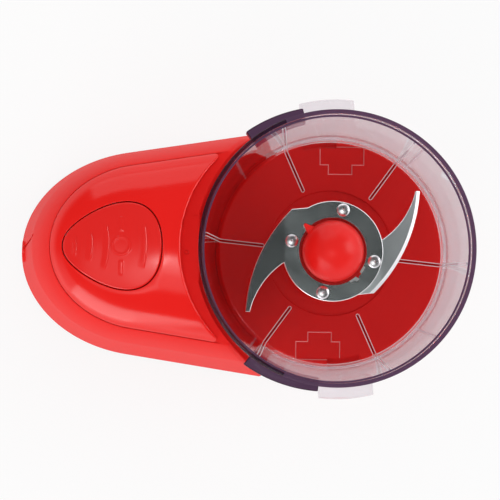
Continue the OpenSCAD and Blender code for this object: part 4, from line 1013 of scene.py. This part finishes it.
# The fins take a faint painted highlight.
marked(fin, "fin")
for i in range(4):
    cut(bowl, turned_copy(fin, 49.3 + 90 * i), "UNION")
bpy.data.objects.remove(fin)
for low_deg, high_deg in ((104, 128.3), (231.7, 263)):
    outer = []
    for i in range(25):
        t = math.radians(low_deg + (high_deg - low_deg) * i / 24)
        cx = -4.4
        reach = cx * math.cos(t) + math.sqrt(72.2 ** 2 - (cx * math.sin(t)) ** 2)
        outer.append((reach * math.cos(t), reach * math.sin(t)))
    r = wall_r(90) + 1.6
    inner_arc = arc_points(0, 0, r, high_deg, low_deg, 24)
    # The wings take painted shade and some painted highlight, which together paint them dark violet.
    wing = marked(stacked("wing", [at(z, outer + inner_arc) for z in (90, 102.5)]), "wing")
    rounded(wing, 0.5)
    cut(bowl, wing, "UNION")
for turn in (0, 180):
    half = 14.0
    reach = 76.0
    side_deg = math.degrees(math.acos(half / reach))
    outer = arc_points(0, 0, reach, side_deg, 180 - side_deg, 12)
    r = wall_r(97) + 1
    low_deg = math.degrees(math.acos(half / r))
    inner_arc = arc_points(0, 0, r, 180 - low_deg, low_deg, 12)
    # The tabs take a light painted highlight, and their bevels the stronger painted highlight of edges.
    tab = marked(stacked("tab", [at(z, outer + inner_arc) for z in (97, 99.2)]), "tab")
    rounded(tab, 0.4, slot=marks["edge"])
    cut(bowl, turned_copy(tab, 4.3 + turn), "UNION")
    bpy.data.objects.remove(tab)
for middle in (96, 278):
    flat = [polar(r, middle + d) for r, ds in ((61, (-8.7, -5, 0, 5, 8.7)), (56, (8.7, 5, 0, -5, -8.7)))
            for d in ds]
    cut(bowl, marked(stacked("lug", [at(z, flat) for z in (33.4, 38.4)])), "UNION")
# Painted shade on the rim's top and the band below it, near black on the side of the tower; faint painted
# highlight on the inner wall away from the tower, and a painted highlight line along the floor's outer edge
# on that side.
for face in bowl.data.polygons:
    far = math.hypot(face.center.x - axis_x, face.center.y) / mm
    high = face.center.z / mm
    turned = math.degrees(math.atan2(face.center.y, face.center.x - axis_x))
    inward = (face.normal.x * (face.center.x - axis_x) + face.normal.y * face.center.y) / (far * mm) < -0.5
    if (high > 110.6 and far > 67.5) or (102.45 < high < 110 and far > 66.3 and face.normal.z > 0.1):
        face.material_index = marks["dark" if high > 110.6 and abs(turned) > 112 else "deep"]
    elif face.material_index == 0 and inward and far > 58 and 42.5 < high < 101 and abs(turned) < 112:
        face.material_index = marks["wall"]
    elif 41.25 < high < 41.75 and far > 57 and -68 < turned < 98:
        face.material_index = marks["edge"]
# The marks become the face attributes of painted highlight and painted shade.
for name, k in (("pale", 0), ("deep", 1)):
    layer = bowl.data.attributes.new(name, "FLOAT", "FACE")
    levels = [kinds[kind][k] for kind in kinds]
    layer.data.foreach_set("value", [levels[face.material_index] for face in bowl.data.polygons])
print({kind: sum(face.material_index == i for face in bowl.data.polygons) for kind, i in marks.items()})
finished(bowl, smoky, "bowl", "bowl", slot="smoky_clear", smooth=32)

# %% [markdown]
# ## Blades, hub and rivets
# The two blades are stamped from sheet: a ring with one curved arm. The lower one is ground on its
# outer edge. That edge and the small top chamfers of both blades take a near-white steel, a painted
# highlight for the white lines they show. Both sit on the flange of a red hub with a domed top.

# %% Blades
blade_low, blade_t = 66.5, 1.2
ring_r, root_x = 26.0, -24.8
rivet_r, rivet_turns = 22, [76.5 + 90 * i for i in range(4)]
# Parts of the ring's hole that are wider: from and to an angle, radius
wider = ((132.1, 143.1, 19.9), (300, 334, 18.9), (308, 314, 20.2), (253, 262, 18.4))


def blade_outline(ground=0.0):
    """The ring with one arm to the left, from the two circles of its edges."""
    ox, oy, o_r = 36.1, -35.7, 81.2 - ground
    ix, iy, i_r = -1.3, -41.2, 42.5
    top_y, tip_y = 21.6, -31.8

    def on_outer(y):
        return angle_of(-math.sqrt(o_r ** 2 - (y - oy) ** 2), y - oy)

    # Outer edge of the arm, from the shoulder, where y = 21.6 meets the ring, down to the tip
    outer = arc_points(ox, oy, o_r, on_outer(top_y), on_outer(tip_y), 40)
    # Inner edge, from the tip up to where it meets the ring
    d = math.hypot(ix, iy)
    along = (i_r ** 2 - ring_r ** 2 + d * d) / (2 * d)
    side = math.sqrt(i_r ** 2 - along ** 2)
    ux, uy = -ix / d, -iy / d
    meet = (ix + ux * along - uy * side, iy + uy * along + ux * side)
    tip_deg = angle_of(-math.sqrt(i_r ** 2 - (tip_y - iy) ** 2), tip_y - iy)
    inner = arc_points(ix, iy, i_r, tip_deg, angle_of(meet[0] - ix, meet[1] - iy), 30)
    ring_from = angle_of(*meet)
    if ring_from > 0:
        ring_from -= 360
    ring = arc_points(0, 0, ring_r, ring_from, 180 - math.degrees(math.asin(top_y / ring_r)), 90)[1:-1]
    return outer + inner + ring


print("points of a blade", len(blade_outline()))


def hole_points(turn=0.0):
    """Hole of the ring with the notch of the pointer and two small steps."""
    points = []
    for i in range(180):
        a = (i * 2.0 + turn) % 360
        r = 17.8
        for low_deg, high_deg, wide in wider:
            if low_deg <= a <= high_deg:
                r = wide
        points.append(polar(r, a))
    return points


def moved_in(flat, inset):
    """Outline of close points, moved to its inner side."""
    turn = sum(x0 * y1 - x1 * y0 for (x0, y0), (x1, y1) in zip(flat, flat[1:] + flat[:1]))
    out = []
    for (x0, y0), (x, y), (x1, y1) in zip(flat[-1:] + flat[:-1], flat, flat[1:] + flat[:1]):
        g = math.copysign(inset, turn) / math.hypot(x1 - x0, y1 - y0)
        out.append((x - (y1 - y0) * g, y + (x1 - x0) * g))
    return out


def make_blade(name, low, high, ground_low, ground_high, turn):
    ground = 1.4
    a = blade_outline(ground if ground_low else 0)
    b = blade_outline(ground if ground_high else 0)
    rows = [at(low, a)]
    if ground_high:
        rows.append(at(low + 0.15, a))
    rows += [at(high - 0.25, b), at(high, moved_in(b, 0.3))]
    blade = stacked(name, rows)
    coat(blade, ground_and_highlight_steel, ground_and_highlight_steel)
    hole = hole_points(turn)
    cut(blade, stacked("hole", [at(low - 1, hole), at(high - 0.2, hole), at(high, moved_in(hole, -0.22)),
                                at(high + 1, moved_in(hole, -0.22))]))
    # Upward slanting faces take the near-white steel: partly the real ground edge, partly painted highlight
    # on the top chamfers.
    for face in blade.data.polygons:
        if 0.3 < face.normal.z < 0.95:
            face.material_index = 1
    for rivet_deg in rivet_turns:
        cut(blade, cylinder("rivet_hole", *polar(rivet_r, rivet_deg), low - 1, high + 1, 1.8, 32))
    return blade


def bend_arm(blade, tilt):
    """Bends the arm up or down beyond the edge of the hub's flange."""
    edit(blade)
    for x in (root_x, root_x - 1.5, root_x - 3):
        bpy.ops.mesh.select_all(action="SELECT")
        bpy.ops.mesh.bisect(plane_co=place(x, 0, 0), plane_no=(1, 0, 0))
    clear()
    for v in blade.data.vertices:
        past = root_x - (v.co.x - axis_x) / mm
        if past > 0:
            v.co.z += math.tan(math.radians(tilt)) * past * mm


upper = make_blade("upper_knife", blade_low + blade_t, blade_low + 2 * blade_t, True, False, 0)
bend_arm(upper, 4)
lower = make_blade("lower_knife", blade_low, blade_low + blade_t, False, True, 180)
bend_arm(lower, -4)
lower_turned = turned_copy(lower, 180)
bpy.data.objects.remove(lower)
named(lower_turned, "lower_knife")
finished(upper, blade_steel, "blade", "upper_blade", slot="dark_steel", smooth=25, second=ground_and_highlight_steel)
finished(lower_turned, low_steel, "blade", "lower_blade", slot="dark_steel", smooth=25, second=ground_and_highlight_steel)

# %% Hub
dome_base = 70.1
hub_profile = ([(0, 43.8), (10.6, 43.8), (11.2, 44.4), (11.2, 60.5), (13.2, 63.5), (24.1, 63.5), (24.5, 63.9),
                (24.5, 66.2), (24.2, 66.5), (17.9, 66.5), (17.7, 66.3), (17.6, 64.6), (16.2, 64.6),
                (16, 64.8), (16, dome_base)]
               + arc_points(0, dome_base, 16, 6, 84, 13) + [(0, dome_base + 16)])
hub = spun("hub", hub_profile, 128)
point_deg = 137.6
pointer = stacked("pointer", [
    [(*(a + b for a, b in zip(polar(u, point_deg), polar(v, point_deg + 90))), z)
     for u, v in ((13, -3.6 + g), (20.4 - g, -0.6), (20.4 - g, 0.6), (13, 3.6 - g))]
    for z, g in ((69.1, 0), (72.1, 0), (72.5, 0.4))])
cut(hub, pointer, "UNION")
cut(hub, cylinder("hub_bore", 0, 0, 42, 57.5, 9.1, 64))
cut(hub, cylinder("hub_socket", 0, 0, 57, 70.0, 6.25, 6))
for turn in rivet_turns:
    cut(hub, cylinder("rivet_seat", *polar(rivet_r, turn), 60, 68, 1.85, 32))
finished(hub, red_hub, "blade", "blade_hub", slot="red_hub")

# %% Rivets
rivet_profile = [(0, 62.3), (2.4, 62.3), (2.6, 62.5), (2.6, 63.5), (1.8, 63.5), (1.8, 68.9), (3.4, 68.9),
                 (3.4, 69.1)]
rivet_profile += [(polar(3.4, a)[0], 69.1 + polar(1.3, a)[1]) for a in range(10, 80, 10)]
rivet_profile += [(0.62, 70.37), (0.45, 70.22), (0, 70.15)]
rivet = spun("rivet", rivet_profile, 40)
rivet.data.transform(Matrix.Translation((rivet_r * mm, 0, 0)))
rivets = [turned_copy(rivet, turn) for turn in rivet_turns]
bpy.data.objects.remove(rivet)
heads = named(joined(*rivets), "rivets")
finished(heads, rivet_steel, "blade", "blade_rivets", slot="bright_steel")

# %% [markdown]

# %% End
clear()
